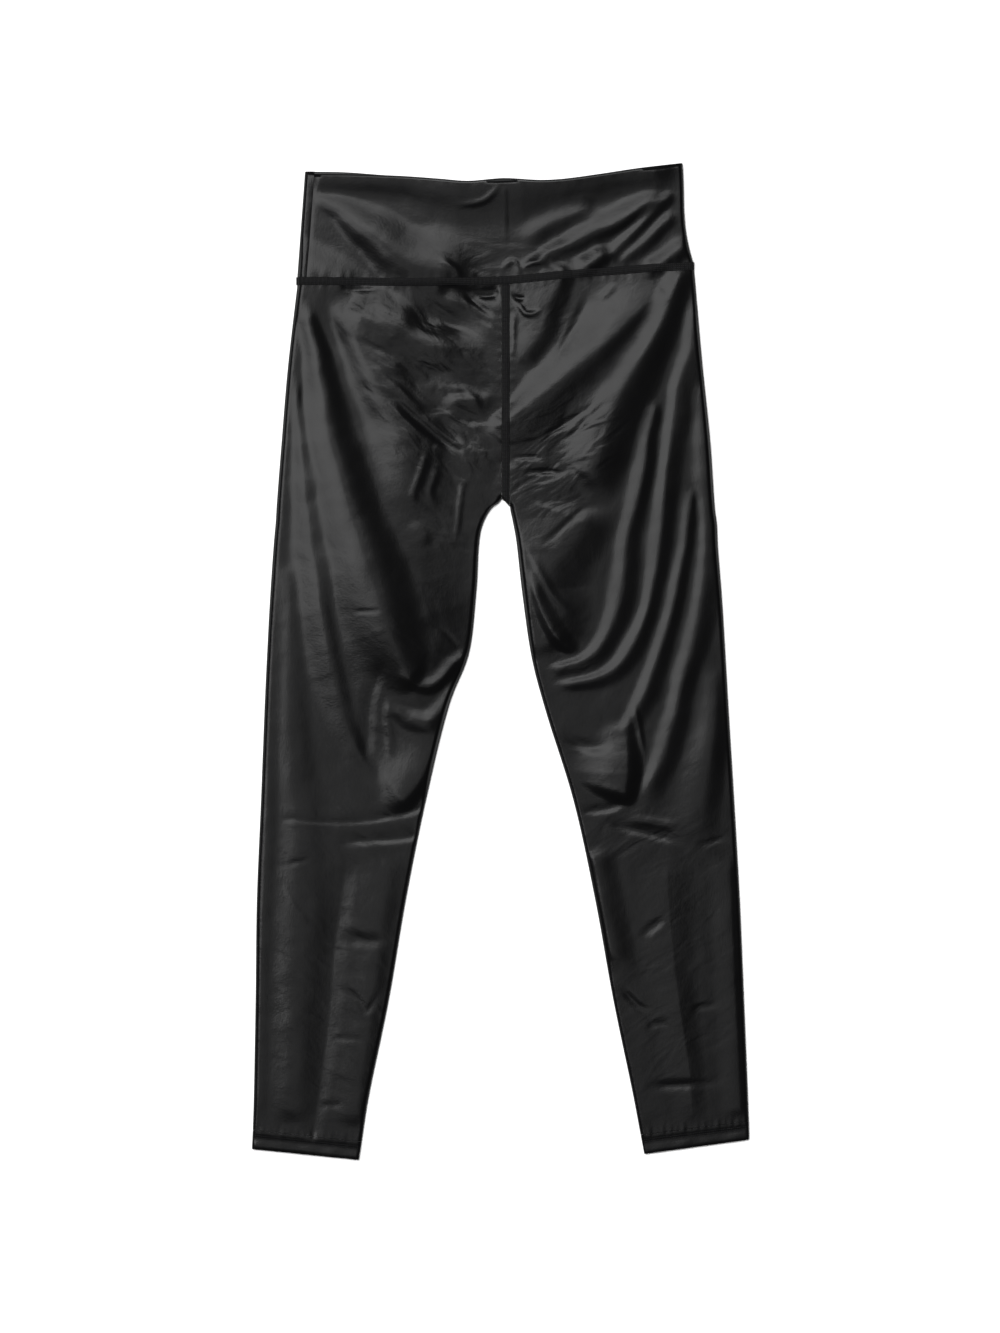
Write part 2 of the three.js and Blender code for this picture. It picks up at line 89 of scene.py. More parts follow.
# How the cloth lies
LEG_EDGE = 3.0  # height of a leg's folded edge
BAND_EDGE = 4.0
HEM_EDGE = 4.0
SEAM_EDGE = 4.4
BAND_CROWN = 6.2  # height of the upper layer between the edges
WAIST_SEAM_CROWN = 5.9
RISE_SEAM_CROWN = 6.4
ROLL = 3.6  # the upper layer comes up from its folded edge over this distance
BAND_ROLL = 3.0
LIP_ROLL = 1.8
CREASE_FADE = 5.0  # folds die out this close to a folded edge
LEAST_AIR = 0.4

# Where the seams are
SEAM_HALF = SEAM_WIDTH / 2
CENTRE_X = 4.9  # of the rise seam
HEM_DEPTH = 16.3
HEM_STITCH = 5.4  # the coverstitch line lies this far below the top of the hem
SIDE_SEAM_SHIFT = 9.0  # the band's side seams lie this far in from its folds
SIDE_SEAM_ROOM = 0.06  # its front and back stop this short of them
SIDE_NOTCH = 0.4  # depth of the line that a side seam draws
NOTCH_WIDTH = 1.1
BACK_PEEK = 2.0  # the back's edge shows this far above the front's, towards the right
PEEK_FROM, PEEK_TO = 0.75, 0.92  # share of the width over which it comes up
CROTCH = ((1.4, 152.6), (4.9, 149.6), (8.4, 145.4))  # where the rise seam turns under
WAIST_PULL = 2  # the legs follow the waist seam's curve down to this station

WAIST_SEAM = (
    (-192, 357.3), (-128, 356.8), (-76, 356.2), (5, 358.2), (67, 363.8), (110, 367), (144, 369.6),
    (182, 371.5),
)
WAIST_EDGE = (
    (-183.8, 457.6), (-146, 457.2), (-94, 455.4), (-57, 452.8), (-31, 450.8), (3, 453.4), (37, 451.6),
    (60, 452.8), (94, 457.4), (131, 463), (171, 467.65),
)
BAND_NIP = 3.6  # the band's left side curves in by this
NIP_PLACE = 1.5  # power that sets how far down the nip is deepest
NIP_SIDE = 4  # power that keeps the nip to the left side
BAND_INSET = 1  # the band is narrower than its seam by this at each end

# Stations down a leg, from the waist seam to the hem: its outer fold, its inner edge and its crown, which is
# the height of the upper layer between them.
Station = namedtuple("Station", "name outer inner crown")
RIGHT_LEG = (
    Station("waist", (-191, 353.5), (1.1, 354.4), 5.6),
    Station("hip", (-200, 275), (1.1, 282), 6.6),
    Station("seat", (-206, 203), (1.1, 209), 6.8),
    Station("crotch", (-210.2, 149), (0.9, 152.6), 6.4),
    Station("arch", (-211.3, 131), (-9, 143), 6.2),
    Station("under arch", (-213, 112), (-18, 124), 6.0),
    Station("thigh", (-216.7, 58), (-22.6, 66), 6.0),
    Station("low thigh", (-219.5, 5), (-29.8, 7), 5.6),
    Station("above knee", (-221.6, -40), (-47.2, -38), 5.6),
    Station("knee", (-225.1, -130), (-70, -130), 5.2),
    Station("calf", (-229, -224), (-89, -224), 4.8),
    Station("low calf", (-230.2, -318), (-105, -318), 4.6),
    Station("ankle", (-231.9, -410), (-124.4, -412), 4.6),
    Station("hem seam", (-232.8, -440.1), (-130.4, -451), 4.4),
)
LEFT_LEG = (
    Station("waist", (182, 367.7), (8.7, 354.6), 5.6),
    Station("hip", (189.5, 282), (8.7, 282), 6.8),
    Station("seat", (197.3, 205), (8.7, 209), 7.2),
    Station("crotch", (201.6, 143), (8.9, 145), 6.6),
    Station("arch", (203.4, 129), (11.2, 133), 6.4),
    Station("under arch", (204.2, 110), (14.4, 116), 6.2),
    Station("thigh", (208.2, 58), (20.4, 64), 6.2),
    Station("low thigh", (211.6, 2), (29.6, 2), 5.8),
    Station("above knee", (214.3, -45), (42, -45), 5.6),
    Station("knee", (219.5, -130), (68.4, -130), 5.2),
    Station("calf", (224.8, -224), (89, -224), 4.8),
    Station("low calf", (228.8, -318), (106, -318), 4.6),
    Station("ankle", (232.3, -404), (124.3, -406), 4.6),
    Station("hem seam", (233.3, -431.7), (131.6, -444.5), 4.4),
)
CROTCH_STATION = 3
HEM_TURN = {  # lower edge of each hem: outer end, inner end
    "right": ((-233.6, -457.4), (-133, -467.65)),
    "left": ((233.6, -448.4), (134.9, -462)),
}

# The folds of the upper layer. rise is a crest's height, or a trough's depth if negative. left and right
# say how far the fold spreads to each hand of someone who walks its path. Each of the three is one size, or
# sizes in even steps along the path. sharp goes from 0, a soft roll, to 1, a pressed crease. fade is the
# share of the path over which it grows and dies away, and a small crease keeps the one given here. Paths
# down the garment run from the waist to the hem, and paths across it from the right leg to the left.
Fold = namedtuple("Fold", "name rise left right sharp path fade", defaults=((0.35, 0.4),))
FOLDS = (
    # waistband
    Fold("band lip roll", (1.8, 2.6, 3.2, 4.4, 4.4, 3.8, 3.0, 2.4), 3, (18, 20, 24, 42, 44, 30, 24, 22),
         0.1,
         ((-180, 456), (-140, 455.5), (-90, 453.5), (-40, 450), (20, 451), (70, 454), (110, 459),
          (168, 464)), (0.04, 0.06)),
    Fold("band right ridge", (0.6, 1.4, 2.3, 3.2, 3.9, 4.5, 4.8, 4.8, 4.5, 4.2, 3.8, 2.6),
         (10, 14, 20, 26, 29, 32, 35, 38, 42, 46, 46, 40), (9, 12, 15, 18, 21, 24, 27, 30, 34, 40, 46, 44),
         0.1,
         ((-178, 437), (-165, 430), (-150, 423), (-140, 414), (-130, 406), (-120, 400), (-110, 392),
          (-100, 383), (-85, 374), (-65, 369), (-40, 366), (-15, 366)), (0.06, 0.15)),
    Fold("band right corner", (2.6, 3.2, 3.2, 2.6, 1.4), (34, 36, 34, 28, 20), (60, 60, 60, 56, 50), 0.0,
         ((-210, 374), (-188, 367), (-166, 359), (-142, 353), (-116, 350)), (0.1, 0.4)),
    Fold("band left long ridge", (0.8, 1.2, 1.5, 1.8, 2.2, 2.4, 2.4, 2.4, 2.2, 1.4),
         (8, 8, 10, 12, 20, 24, 22, 20, 18, 14), (10, 10, 12, 12, 14, 14, 12, 11, 10, 8), 0.2,
         ((16, 368), (31, 375), (46, 384), (61, 390), (76, 397), (90, 404), (104, 409), (120, 418),
          (138, 430), (158, 440)), (0.1, 0.1)),
    Fold("band left upper ridge", 1.5, 18, (13, 12), 0.1,
         ((14, 390), (30, 400), (45, 410), (60, 416), (78, 423), (92, 428)), (0.3, 0.3)),
    Fold("band left second ridge", (0.6, 1.1, 1.4, 1.5, 1.5, 1.4, 1.0), (10, 10, 10, 9, 9, 9, 8),
         (9, 9, 10, 10, 10, 9, 8), 0.2,
         ((98, 372), (110, 388), (120, 398), (130, 408), (140, 419), (150, 429), (164, 441)), (0.1, 0.1)),
    Fold("band left third ridge", (0.6, 1.0, 1.2, 1.4, 1.3, 1.1), (8, 8, 9, 10, 10, 10),
         (8, 9, 10, 10, 10, 10), 0.1,
         ((112, 373), (121, 382), (131, 390), (141, 399), (152, 410), (166, 423)), (0.1, 0.15)),
    Fold("band left corner", 1.8, (12, 16), (10, 12), 0.1,
         ((130, 366), (144, 370), (158, 378), (170, 388), (178, 398)), (0.25, 0.3)),
    Fold("band left patch", 2.6, (14, 16), 12, 0.0,
         ((66, 366), (80, 371), (92, 379), (102, 392)), (0.35, 0.3)),
    Fold("band centre line", 0.3, 3, (16, 14), 0.9, ((4.6, 446), (5, 420), (5.2, 380)), (0.1, 0.4)),
    Fold("band top centre", 0.78, (5, 4), (6, 5), 0.5,
         ((-46, 429), (-28, 430), (-16, 433), (-6, 441), (2, 451))),
    Fold("band lower right crease", -0.45, 5, (4, 5), 0.5,
         ((-66, 386), (-50, 381), (-36, 372), (-20, 367), (-4, 365))),
    Fold("band lower right line", 0.9, 4, 4, 0.5, ((-58, 378), (-48, 372), (-40, 366), (-36, 359))),
    Fold("band knot ridge", 0.99, 4, 4, 0.6, ((0, 365), (6, 373), (12, 376), (17, 370), (19, 362))),
    Fold("band knot second", 0.8, 4, 4, 0.5, ((18, 366), (26, 373), (36, 375), (48, 371))),
    # right hip and thigh
    Fold("right outer ridge", (0.5, 0.9, 1.1, 1.3, 1.5, 1.7, 1.6, 1.8, 2.0, 2.2, 2.1, 2.1, 2.0, 2.0, 1.9,
         1.8, 1.5, 1.1, 0.7, 0.4),
         (5, 5, 8, 9, 12, 16, 14, 15, 16, 18, 17, 15, 15, 15, 16, 16, 15, 12, 8, 6),
         (7, 7, 8, 9, 12, 16, 15, 18, 21, 24, 24, 26, 26, 26, 26, 24, 20, 16, 12, 8), 0.2,
         ((-190, 275), (-190.5, 250), (-190, 230), (-188.5, 210), (-187, 190), (-184.5, 170), (-183, 150),
          (-180, 130), (-178, 110), (-174, 90), (-171, 70), (-168.5, 50), (-165, 30), (-162, 10),
          (-158, -10), (-153, -30), (-148, -50), (-141, -70), (-129, -92), (-119, -108)), (0.06, 0.06)),
    Fold("right main ridge",
         (1.0, 2.6, 3.2, 3.5, 3.8, 4.2, 4.5, 4.7, 4.8, 4.9, 5.0, 5.1, 5.1, 4.9, 4.6, 4.0, 3.4, 2.6, 1.8),
         (6, 14, 17, 20, 23, 27, 30, 32, 33, 34, 35, 37, 40, 40, 38, 36, 34, 30, 20),
         (10, 14, 16, 20, 25, 30, 36, 40, 42, 44, 46, 50, 52, 52, 50, 46, 40, 30, 16), 0.15,
         ((-184, 342), (-178, 310), (-172.5, 290), (-169.5, 270), (-165.5, 250), (-163, 230), (-160, 210),
          (-154, 190), (-148.5, 170), (-143.5, 150), (-137.5, 130), (-130.5, 110), (-125, 90), (-118, 70),
          (-111, 50), (-105, 30), (-98, 10), (-88, -9), (-74, -20)), (0.04, 0.04)),
    Fold("right inner thigh fall", (0, 0.4, 1.4, 2.6, 4.0, 5.2, 6.0, 6.2, 5.4, 3.6, 1.6, 0.2),
         (36, 50, 66, 80, 92, 100, 100, 92, 80, 70, 60, 50),
         (60, 74, 86, 100, 110, 116, 116, 110, 100, 90, 80, 60), 0.0,
         ((-166, 255), (-161, 222), (-152, 190), (-142, 160), (-132, 130), (-121, 98), (-111, 64),
          (-102, 32), (-92, 4), (-86, -30), (-86, -64), (-90, -96)), (0.01, 0.1)),
    Fold("right knee swag", (0.4, 1.0, 1.5, 1.8, 1.8, 1.6, 1.0), (12, 12, 12, 12, 12, 12, 8),
         (8, 10, 10, 10, 10, 9, 8), 0.4,
         ((-98, -8), (-88, -16), (-77, -22), (-66, -23), (-56, -17), (-44, -3), (-31, 8)), (0.15, 0.05)),
    Fold("right second swag", (0.4, 1.0, 1.6, 1.8, 1.8, 1.5, 0.9), (12, 12, 14, 16, 14, 12, 10),
         (12, 12, 14, 14, 14, 12, 10), 0.2,
         ((-114, -38), (-98, -46), (-82, -54), (-68, -56), (-57, -48), (-47, -33), (-38, -14)), (0.2, 0.1)),
    Fold("right knee strand", -0.7, (9, 10), 12, 0.4,
         ((-107, 8), (-113, -8), (-120, -26), (-124, -46), (-125, -70), (-127, -92),
          (-130, -112)), (0.35, 0.35)),
    Fold("right knee strand, inner", 0.62, 8, 6, 0.3, ((-104, -30), (-106, -52), (-104, -74), (-104, -96))),
    Fold("right knee pouch", (0.8, 2.0, 3.0, 3.4, 2.8, 1.4), (12, 12, 12, 14, 16, 16),
         (40, 52, 56, 54, 44, 34), 0.0,
         ((-54, -46), (-60, -68), (-67, -90), (-76, -110), (-92, -128), (-112, -140)), (0.2, 0.2)),
    Fold("right outer roll", (0.3, 0.8, 0.9, 1.0, 1.1, 1.2, 1.2, 1.2, 1.2, 1.2, 1.1, 0.8),
         (10, 14, 16, 20, 24, 28, 32, 36, 36, 34, 30, 26), (10, 14, 16, 18, 20, 22, 24, 24, 24, 24, 24, 22),
         0.0,
         ((-200, 100), (-199, 50), (-198, 10), (-197, -30), (-196, -70), (-193, -110), (-188, -150),
          (-190, -200), (-192, -260), (-194, -320), (-195, -380), (-197, -438)), (0.05, 0.03)),
    Fold("right rim bead", 0.4, 12, 5, 0.0,
         ((-186, 345), (-196, 262), (-204, 180), (-212, 60), (-217, -60), (-220, -160), (-224, -260),
          (-226, -360), (-228, -436)), (0.1, 0.04)),
    # right pelvis
    Fold("right seat ridge", (2.0, 3.8, 4.2, 3.8, 3.0, 2.2), (38, 40, 34, 26, 22, 20),
         (22, 30, 38, 40, 38, 32), 0.0,
         ((-146, 333), (-122, 325), (-98, 315), (-70, 303), (-40, 294), (-6, 290)), (0.15, 0.35)),
    Fold("right centre dip", -2.0, (26, 24), 22, 0.1,
         ((-92, 322), (-66, 318), (-38, 315), (-6, 317)), (0.3, 0.4)),
    Fold("right centre shelf", 1.4, 9, (20, 18), 0.2, ((-56, 243), (-32, 246), (-6, 243))),
    Fold("right belly bulge", (1.4, 3.0, 4.0, 4.4, 4.4, 4.4, 4.2, 3.8, 2.8, 1.4, 0.4),
         (26, 34, 44, 46, 40, 42, 44, 44, 44, 40, 36), (12, 18, 24, 29, 31, 36, 38, 36, 33, 30, 26), 0.0,
         ((-156, 345), (-142, 315), (-128, 290), (-118, 270), (-109, 250), (-98, 230), (-92, 210),
          (-88, 190), (-84, 170), (-80, 150), (-78, 130)), (0.08, 0.15)),
    Fold("right seam hollow", -1.6, 8, 14, 0.2, ((-62, 352), (-40, 348), (-20, 346), (0, 348)), (0.2, 0.1)),
    Fold("right long crease", -1.5, (5, 6), (9, 8), 0.6,
         ((-124, 260), (-102, 248), (-82, 230), (-62, 213), (-46, 202), (-32, 196))),
    Fold("right long crease, lip", 0.56, 5, 5, 0.4,
         ((-116, 246), (-96, 232), (-78, 216), (-60, 204), (-44, 194))),
    Fold("right short crease", -0.96, 4, 6, 0.7, ((-62, 228), (-50, 220), (-41, 211), (-33, 203))),
    Fold("right faint crease, high", -0.5, 4, 6, 0.6, ((-138, 307), (-122, 297), (-104, 289), (-90, 279))),
    Fold("right faint crease, low", -0.5, 4, 6, 0.6,
         ((-132, 291), (-116, 279), (-98, 265), (-80, 249), (-64, 236))),
    Fold("right faint crease, third", 0.43, 5, 5, 0.5, ((-112, 268), (-96, 256), (-82, 243), (-70, 232))),
    Fold("right lens under seam", -0.75, 3, 3, 0.5, ((-154, 351.5), (-134, 349), (-112, 349))),
    Fold("right diagonal at centre", -1.6, 5, 5, 0.6, ((-38, 351), (-27, 340), (-15, 331), (-4, 322))),
    Fold("right tuck at centre", -1.1, 3, 4, 0.6, ((-26, 345), (-12, 343), (0, 346))),
    Fold("right lower tuck at centre", -0.5, 4, 4, 0.6, ((-24, 326), (-14, 319), (-7, 314))),
    Fold("right bright bend", 0.62, (6, 5), (6, 7), 0.5,
         ((-66, 257), (-48, 256), (-34, 255), (-25, 247), (-18, 238), (-8, 234))),
    Fold("right crotch strand, first", 0.74, (8, 6), 6, 0.3,
         ((-66, 206), (-70, 192), (-76, 174), (-82, 156), (-80, 144))),
    Fold("right crotch strand, second", 0.62, 6, 6, 0.3, ((-58, 190), (-62, 172), (-66, 158), (-58, 142))),
    Fold("right crotch strand, third", 0.5, 5, 5, 0.4,
         ((-30, 176), (-36, 162), (-38, 148), (-41, 122), (-43, 108))),
    Fold("right small tuck", -0.5, 4, 4, 0.5, ((-34, 222), (-24, 226), (-12, 222))),
    Fold("right thigh bruise", 0.5, 12, 10, 0.2, ((-88, 130), (-76, 120), (-68, 108)), (0.4, 0.4)),
    Fold("right inner thigh line", -0.56, 4, 5, 0.5,
         ((-78, 36), (-60, 33), (-50, 26), (-40, 15), (-32, 9))),
    Fold("right thigh nick", -0.43, 3, 3, 0.6, ((-140, 47), (-124, 47), (-108, 48))),
    # left hip and thigh
    Fold("left centre ridge", (1.2, 2.0, 2.0, 2.0, 2.1, 2.0, 1.4), (17, 17, 18, 19, 20, 20, 14),
         (50, 50, 50, 46, 40, 30, 16), 0.2,
         ((62, 376), (56, 360), (50, 345), (43, 330), (38, 310), (24, 290), (12, 276)), (0.1, 0.15)),
    Fold("left first ridge", (0.2, 1.6, 3.8, 5.0, 5.0, 4.4, 3.8, 1.8), (12, 18, 26, 32, 36, 38, 38, 34),
         (40, 44, 44, 40, 36, 28, 15, 12), 0.1,
         ((156, 352), (137, 336), (116, 316), (92, 293), (68, 273), (42, 253), (14, 232),
          (-14, 212)), (0.05, 0.08)),
    Fold("left first groove", (-0.5, -0.8, -0.9, -0.7, -0.4), (9, 10, 9, 7, 5), (7, 8, 7, 6, 5), 0.3,
         ((83, 352), (77, 330), (67, 310), (55, 288), (37, 268))),
    Fold("left second ridge", (1.6, 2.8, 3.1, 3.5, 4.0, 4.5, 4.8, 4.8, 4.4, 4.0, 3.2, 1.8),
         (16, 18, 20, 23, 27, 33, 38, 38, 36, 33, 32, 30), (16, 17, 18, 20, 24, 30, 38, 44, 42, 40, 34, 26),
         0.15,
         ((174, 376), (163, 350), (156, 331), (148, 313), (136, 292), (123, 270), (111, 248), (103, 230),
          (97, 210), (92, 190), (84, 172), (72, 158)), (0.05, 0.12)),
    Fold("left inner thigh roll", (2.0, 2.4, 2.8, 3.0, 3.0, 2.8, 2.4, 1.8),
         (34, 34, 38, 44, 46, 40, 34, 26), (50, 60, 70, 80, 80, 70, 60, 50), 0.0,
         ((82, 152), (76, 130), (62, 110), (48, 90), (40, 70), (50, 50), (54, 30), (62, 10)), (0.15, 0.1)),
    Fold("left third ridge",
         (0.8, 1.3, 1.6, 1.8, 1.8, 1.8, 1.7, 1.7, 1.7, 1.8, 1.8, 1.8, 1.8, 1.6, 1.4, 1.0),
         (8, 9, 10, 11, 11, 12, 14, 15, 16, 16, 16, 15, 15, 14, 12, 10),
         (9, 12, 14, 16, 16, 16, 14, 15, 16, 19, 17, 14, 12, 8, 7, 6), 0.3,
         ((146, 250), (143.5, 230), (138.5, 210), (136.5, 190), (133, 170), (128.5, 150), (122.5, 130),
          (118.5, 110), (117, 90), (115, 70), (111, 50), (103, 30), (91, 10), (76, 0), (60, -5),
          (40, -8)), (0.06, 0.06)),
    Fold("left fourth ridge", (0.8, 1.2, 1.4, 1.4, 1.4, 1.5, 1.6, 1.7, 1.7, 1.9, 1.9, 2.0, 1.8, 1.6, 1.6,
         1.8, 2.0, 2.0, 1.9, 1.7, 1.4, 1.0),
         (24, 26, 26, 26, 24, 20, 17, 17, 18, 15, 14, 14, 13, 12, 12, 13, 15, 14, 14, 12, 10, 8),
         (10, 12, 13, 13, 12, 12, 12, 10, 11, 13, 15, 16, 14, 12, 10, 12, 14, 12, 10, 8, 7, 6), 0.3,
         ((183, 345), (182, 325), (181, 308), (178, 290), (167, 258), (163.5, 230), (160.5, 210),
          (157.5, 190), (155, 170), (153.5, 150), (152, 130), (149.5, 110), (147, 90), (143, 70),
          (138.5, 50), (131.5, 30), (121.5, 10), (112, -3), (100, -12), (86, -17), (66, -21),
          (44, -24)), (0.06, 0.06)),
    Fold("left fifth ridge", (0.3, 0.9, 1.1, 1.2, 1.3, 1.4, 1.4, 1.5, 1.6, 1.7, 1.8, 1.5, 1.1, 0.5),
         (5, 6, 9, 9, 10, 11, 11, 12, 13, 15, 16, 15, 12, 8),
         (10, 11, 10, 10, 10, 11, 11, 12, 12, 12, 13, 13, 11, 8), 0.3,
         ((180, 166), (179, 150), (176, 130), (174, 110), (170, 90), (166, 70), (162, 50), (156.5, 30),
          (150, 10), (143, -10), (136, -30), (128, -46), (120, -60), (114, -72)), (0.06, 0.1)),
    Fold("left sixth ridge", (0.4, 0.8, 1.0, 1.2, 1.4, 1.5, 1.3, 1.2, 1.2, 1.3, 1.5, 1.6, 1.7, 1.8, 1.8,
         1.8, 1.8, 1.9, 1.8, 1.7, 1.5, 0.8),
         (30, 30, 30, 30, 30, 30, 28, 26, 26, 24, 22, 20, 19, 17, 15, 15, 16, 18, 18, 18, 18, 12),
         (10, 11, 12, 14, 16, 17, 12, 10, 10, 12, 13, 14, 15, 16, 16, 14, 15, 17, 16, 11, 12, 10), 0.2,
         ((188, 265), (189, 250), (190, 230), (190.5, 210), (192, 190), (192.5, 170), (193.5, 150),
          (194, 130), (193.5, 110), (192.5, 90), (191, 70), (188, 50), (184, 30), (180, 10), (173.5, -10),
          (168.5, -30), (164.5, -50), (158.5, -70), (153, -90), (143, -110), (134, -127),
          (120, -136)), (0.05, 0.1)),
    Fold("left wedge ridge", (0.4, 1.0, 1.4, 1.8, 2.0, 1.8, 1.2, 0.3), (12, 12, 14, 16, 18, 20, 22, 24),
         (12, 17, 20, 24, 28, 32, 34, 34), 0.0,
         ((201, 0), (201, -30), (200, -50), (199, -70), (196, -92), (192, -118), (187, -146),
          (182, -180)), (0.1, 0.1)),
    Fold("left seat crease, first", -1, 4, 6, 0.6, ((36, 209), (52, 219), (68, 229), (82, 238), (94, 248))),
    Fold("left seat crease, second", -0.87, 4, 5, 0.6,
         ((56, 208), (66, 212), (78, 225), (92, 237), (105, 247))),
    Fold("left crotch crease, first", -1.1, 4, 4, 0.7, ((9, 191), (26, 192), (44, 191))),
    Fold("left crotch crease, second", -1.2, 5, 4, 0.7, ((18, 177), (34, 178), (50, 178), (62, 176))),
    Fold("left thigh blade", -0.74, 5, (10, 8), 0.6,
         ((35, 107), (48, 117), (60, 128), (74, 140), (86, 151))),
    Fold("left inner lap", 0.87, 8, (5, 6), 0.6,
         ((20, 118), (30, 98), (40, 78), (50, 60), (60, 52), (70, 44))),
    Fold("left inner swag", (1.0, 1.6, 2.0, 2.2, 2.0, 1.2), (10, 12, 14, 14, 12, 10), (6, 8, 10, 10, 8, 8),
         0.3,
         ((27, 92), (33, 66), (42, 42), (52, 24), (62, 14), (76, 15)), (0.2, 0.2)),
    Fold("left hip tick", 0.43, 6, 6, 0.5, ((108, 356), (104, 350), (98, 344), (92, 339))),
    Fold("left centre loop", 1.3, 4, 5, 0.5, ((11, 341), (18, 334), (24, 327), (32, 327), (39, 333))),
    Fold("left centre tuck", -1.4, 4, 4, 0.6, ((10, 344), (18, 341), (25, 342))),
    Fold("left centre edge", 0.78, 5, 4, 0.5, ((13, 332), (12, 310), (11, 280))),
    # left knee
    Fold("left knee pouch", (0.6, 1.6, 3.2, 4.4, 4.2, 2.0), (12, 14, 16, 17, 16, 14),
         (18, 34, 54, 58, 50, 40), 0.0,
         ((113, -52), (116, -70), (118, -88), (118, -106), (116, -122), (112, -136)), (0.15, 0.15)),
    Fold("left knee hollow", -0.99, (12, 10), 8, 0.3, ((56, -72), (74, -78), (92, -80), (106, -74))),
    Fold("left knee crease", (-0.6, -1.0, -1.1, -0.9, -0.5), (10, 12, 12, 10, 8), (9, 8, 7, 7, 6), 0.7,
         ((99, -150), (120, -157), (140, -162), (158, -167), (178, -173)), (0.15, 0.35)),
    Fold("left knee lap", -0.99, (10, 8), (6, 5), 0.4, ((72, -141), (90, -140), (106, -137), (120, -131))),
    Fold("left knee upper ridge", 0.74, 8, 8, 0.3, ((118, -149), (136, -150), (156, -153), (172, -158))),
    Fold("left knee outer crease", -0.5, 5, 5, 0.6, ((180, -173), (192, -171), (204, -167), (216, -165))),
    Fold("left knee strand", 0.74, 5, 5, 0.6, ((124, -38), (129, -56), (132, -74), (136, -92))),
    # right knee
    Fold("right knee crease, upper", (-0.3, -0.4, -0.5, -0.5, -0.6, -0.8, -0.9, -1.0),
         (10, 10, 10, 10, 12, 14, 14, 14), (4, 4, 4, 4, 5, 6, 6, 6), 0.8,
         ((-212, -147), (-190, -149), (-165, -151), (-140, -151), (-120, -149), (-100, -145), (-84, -141),
          (-72, -137)), (0.1, 0.04)),
    Fold("right knee crease, lower", (-0.4, -0.7, -0.9, -1.0, -1.0), (12, 14, 16, 18, 18), (8, 8, 7, 7, 6),
         0.7,
         ((-162, -171), (-140, -169), (-120, -168), (-100, -167), (-76, -164)), (0.35, 0.06)),
    Fold("right shin nick", -0.37, 4, 5, 0.5, ((-202, -190), (-190, -188), (-176, -185))),
    # right calf
    Fold("right pressed crease", (-0.3, -0.7, -0.9, -0.9, -0.9, -0.9, -0.9, -0.8, -0.8, -0.7, -0.6),
         (12, 14, 15, 15, 15, 15, 14, 14, 12, 12, 10), (12, 22, 26, 26, 26, 26, 26, 24, 22, 18, 14), 0.5,
         ((-142, -178), (-147, -205), (-151, -235), (-155, -260), (-158, -290), (-160, -320), (-163, -350),
          (-167, -380), (-170, -405), (-174, -430), (-177, -452)), (0.1, 0.05)),
    Fold("right calf inner roll", (0.5, 0.9, 1.0, 1.0, 0.9, 0.9, 0.8), (18, 20, 18, 16, 16, 14, 12),
         (30, 38, 36, 32, 30, 28, 24), 0.0,
         ((-102, -178), (-108, -210), (-114, -250), (-120, -300), (-126, -345), (-132, -390),
          (-138, -440)), (0.1, 0.05)),
    Fold("right calf crease", -0.81, 12, 10, 0.4, ((-152, -256), (-136, -261), (-118, -263), (-102, -264))),
    Fold("right calf tuck", -0.62, 6, 6, 0.5,
         ((-156, -306), (-144, -310), (-134, -318), (-126, -328), (-118, -318), (-110, -306))),
    Fold("right calf line", -0.37, 6, 5, 0.4, ((-160, -354), (-144, -354), (-124, -357))),
    Fold("right ankle line", -0.37, 6, 5, 0.4, ((-172, -417), (-160, -417), (-146, -417))),
    Fold("right calf scratch", 0.31, 4, 5, 0.5, ((-206, -205), (-196, -224), (-186, -240), (-177, -248))),
    # left calf
    Fold("left pressed ridge", (0.6, 0.9, 1.0, 1.1, 1.1, 1.1, 1.0, 0.9, 0.7),
         (28, 28, 26, 24, 22, 20, 18, 16, 14), (30, 36, 38, 38, 36, 34, 30, 26, 20), 0.5,
         ((156, -178), (157, -210), (159, -240), (162, -270), (165, -300), (169, -330), (173, -355),
          (177, -382), (181, -438)), (0.1, 0.05)),
    Fold("left calf inner roll", 1.3, (22, 24), 8, 0.0,
         ((86, -172), (92, -200), (98, -235), (106, -275), (112, -300)), (0.15, 0.3)),
    Fold("left outer bead", 0.7, 7, (22, 20), 0.0,
         ((214, -180), (216, -230), (219, -300), (222, -360), (225, -430)), (0.1, 0.04)),
    Fold("left ankle crease", -0.99, 8, 8, 0.6,
         ((134, -400), (150, -399), (165, -398), (185, -397), (214, -394))),
    Fold("left calf diagonal", -0.62, 8, 6, 0.5, ((130, -260), (144, -249), (158, -239))),
    Fold("left calf wedge", -0.74, 6, 6, 0.4, ((112, -306), (122, -316), (132, -325), (146, -326))),
    Fold("left calf line", -0.37, 8, 5, 0.3, ((136, -342), (148, -341), (160, -341))),
    Fold("left calf outer nick", -0.5, 6, 6, 0.3, ((178, -326), (192, -324), (208, -321))),
)


def lerp(a, b, share):
    return a + (b - a) * share


def smooth(value, low=0.0, high=1.0):
    u = np.clip((value - low) / (high - low), 0, 1)
    return u * u * (3 - 2 * u)


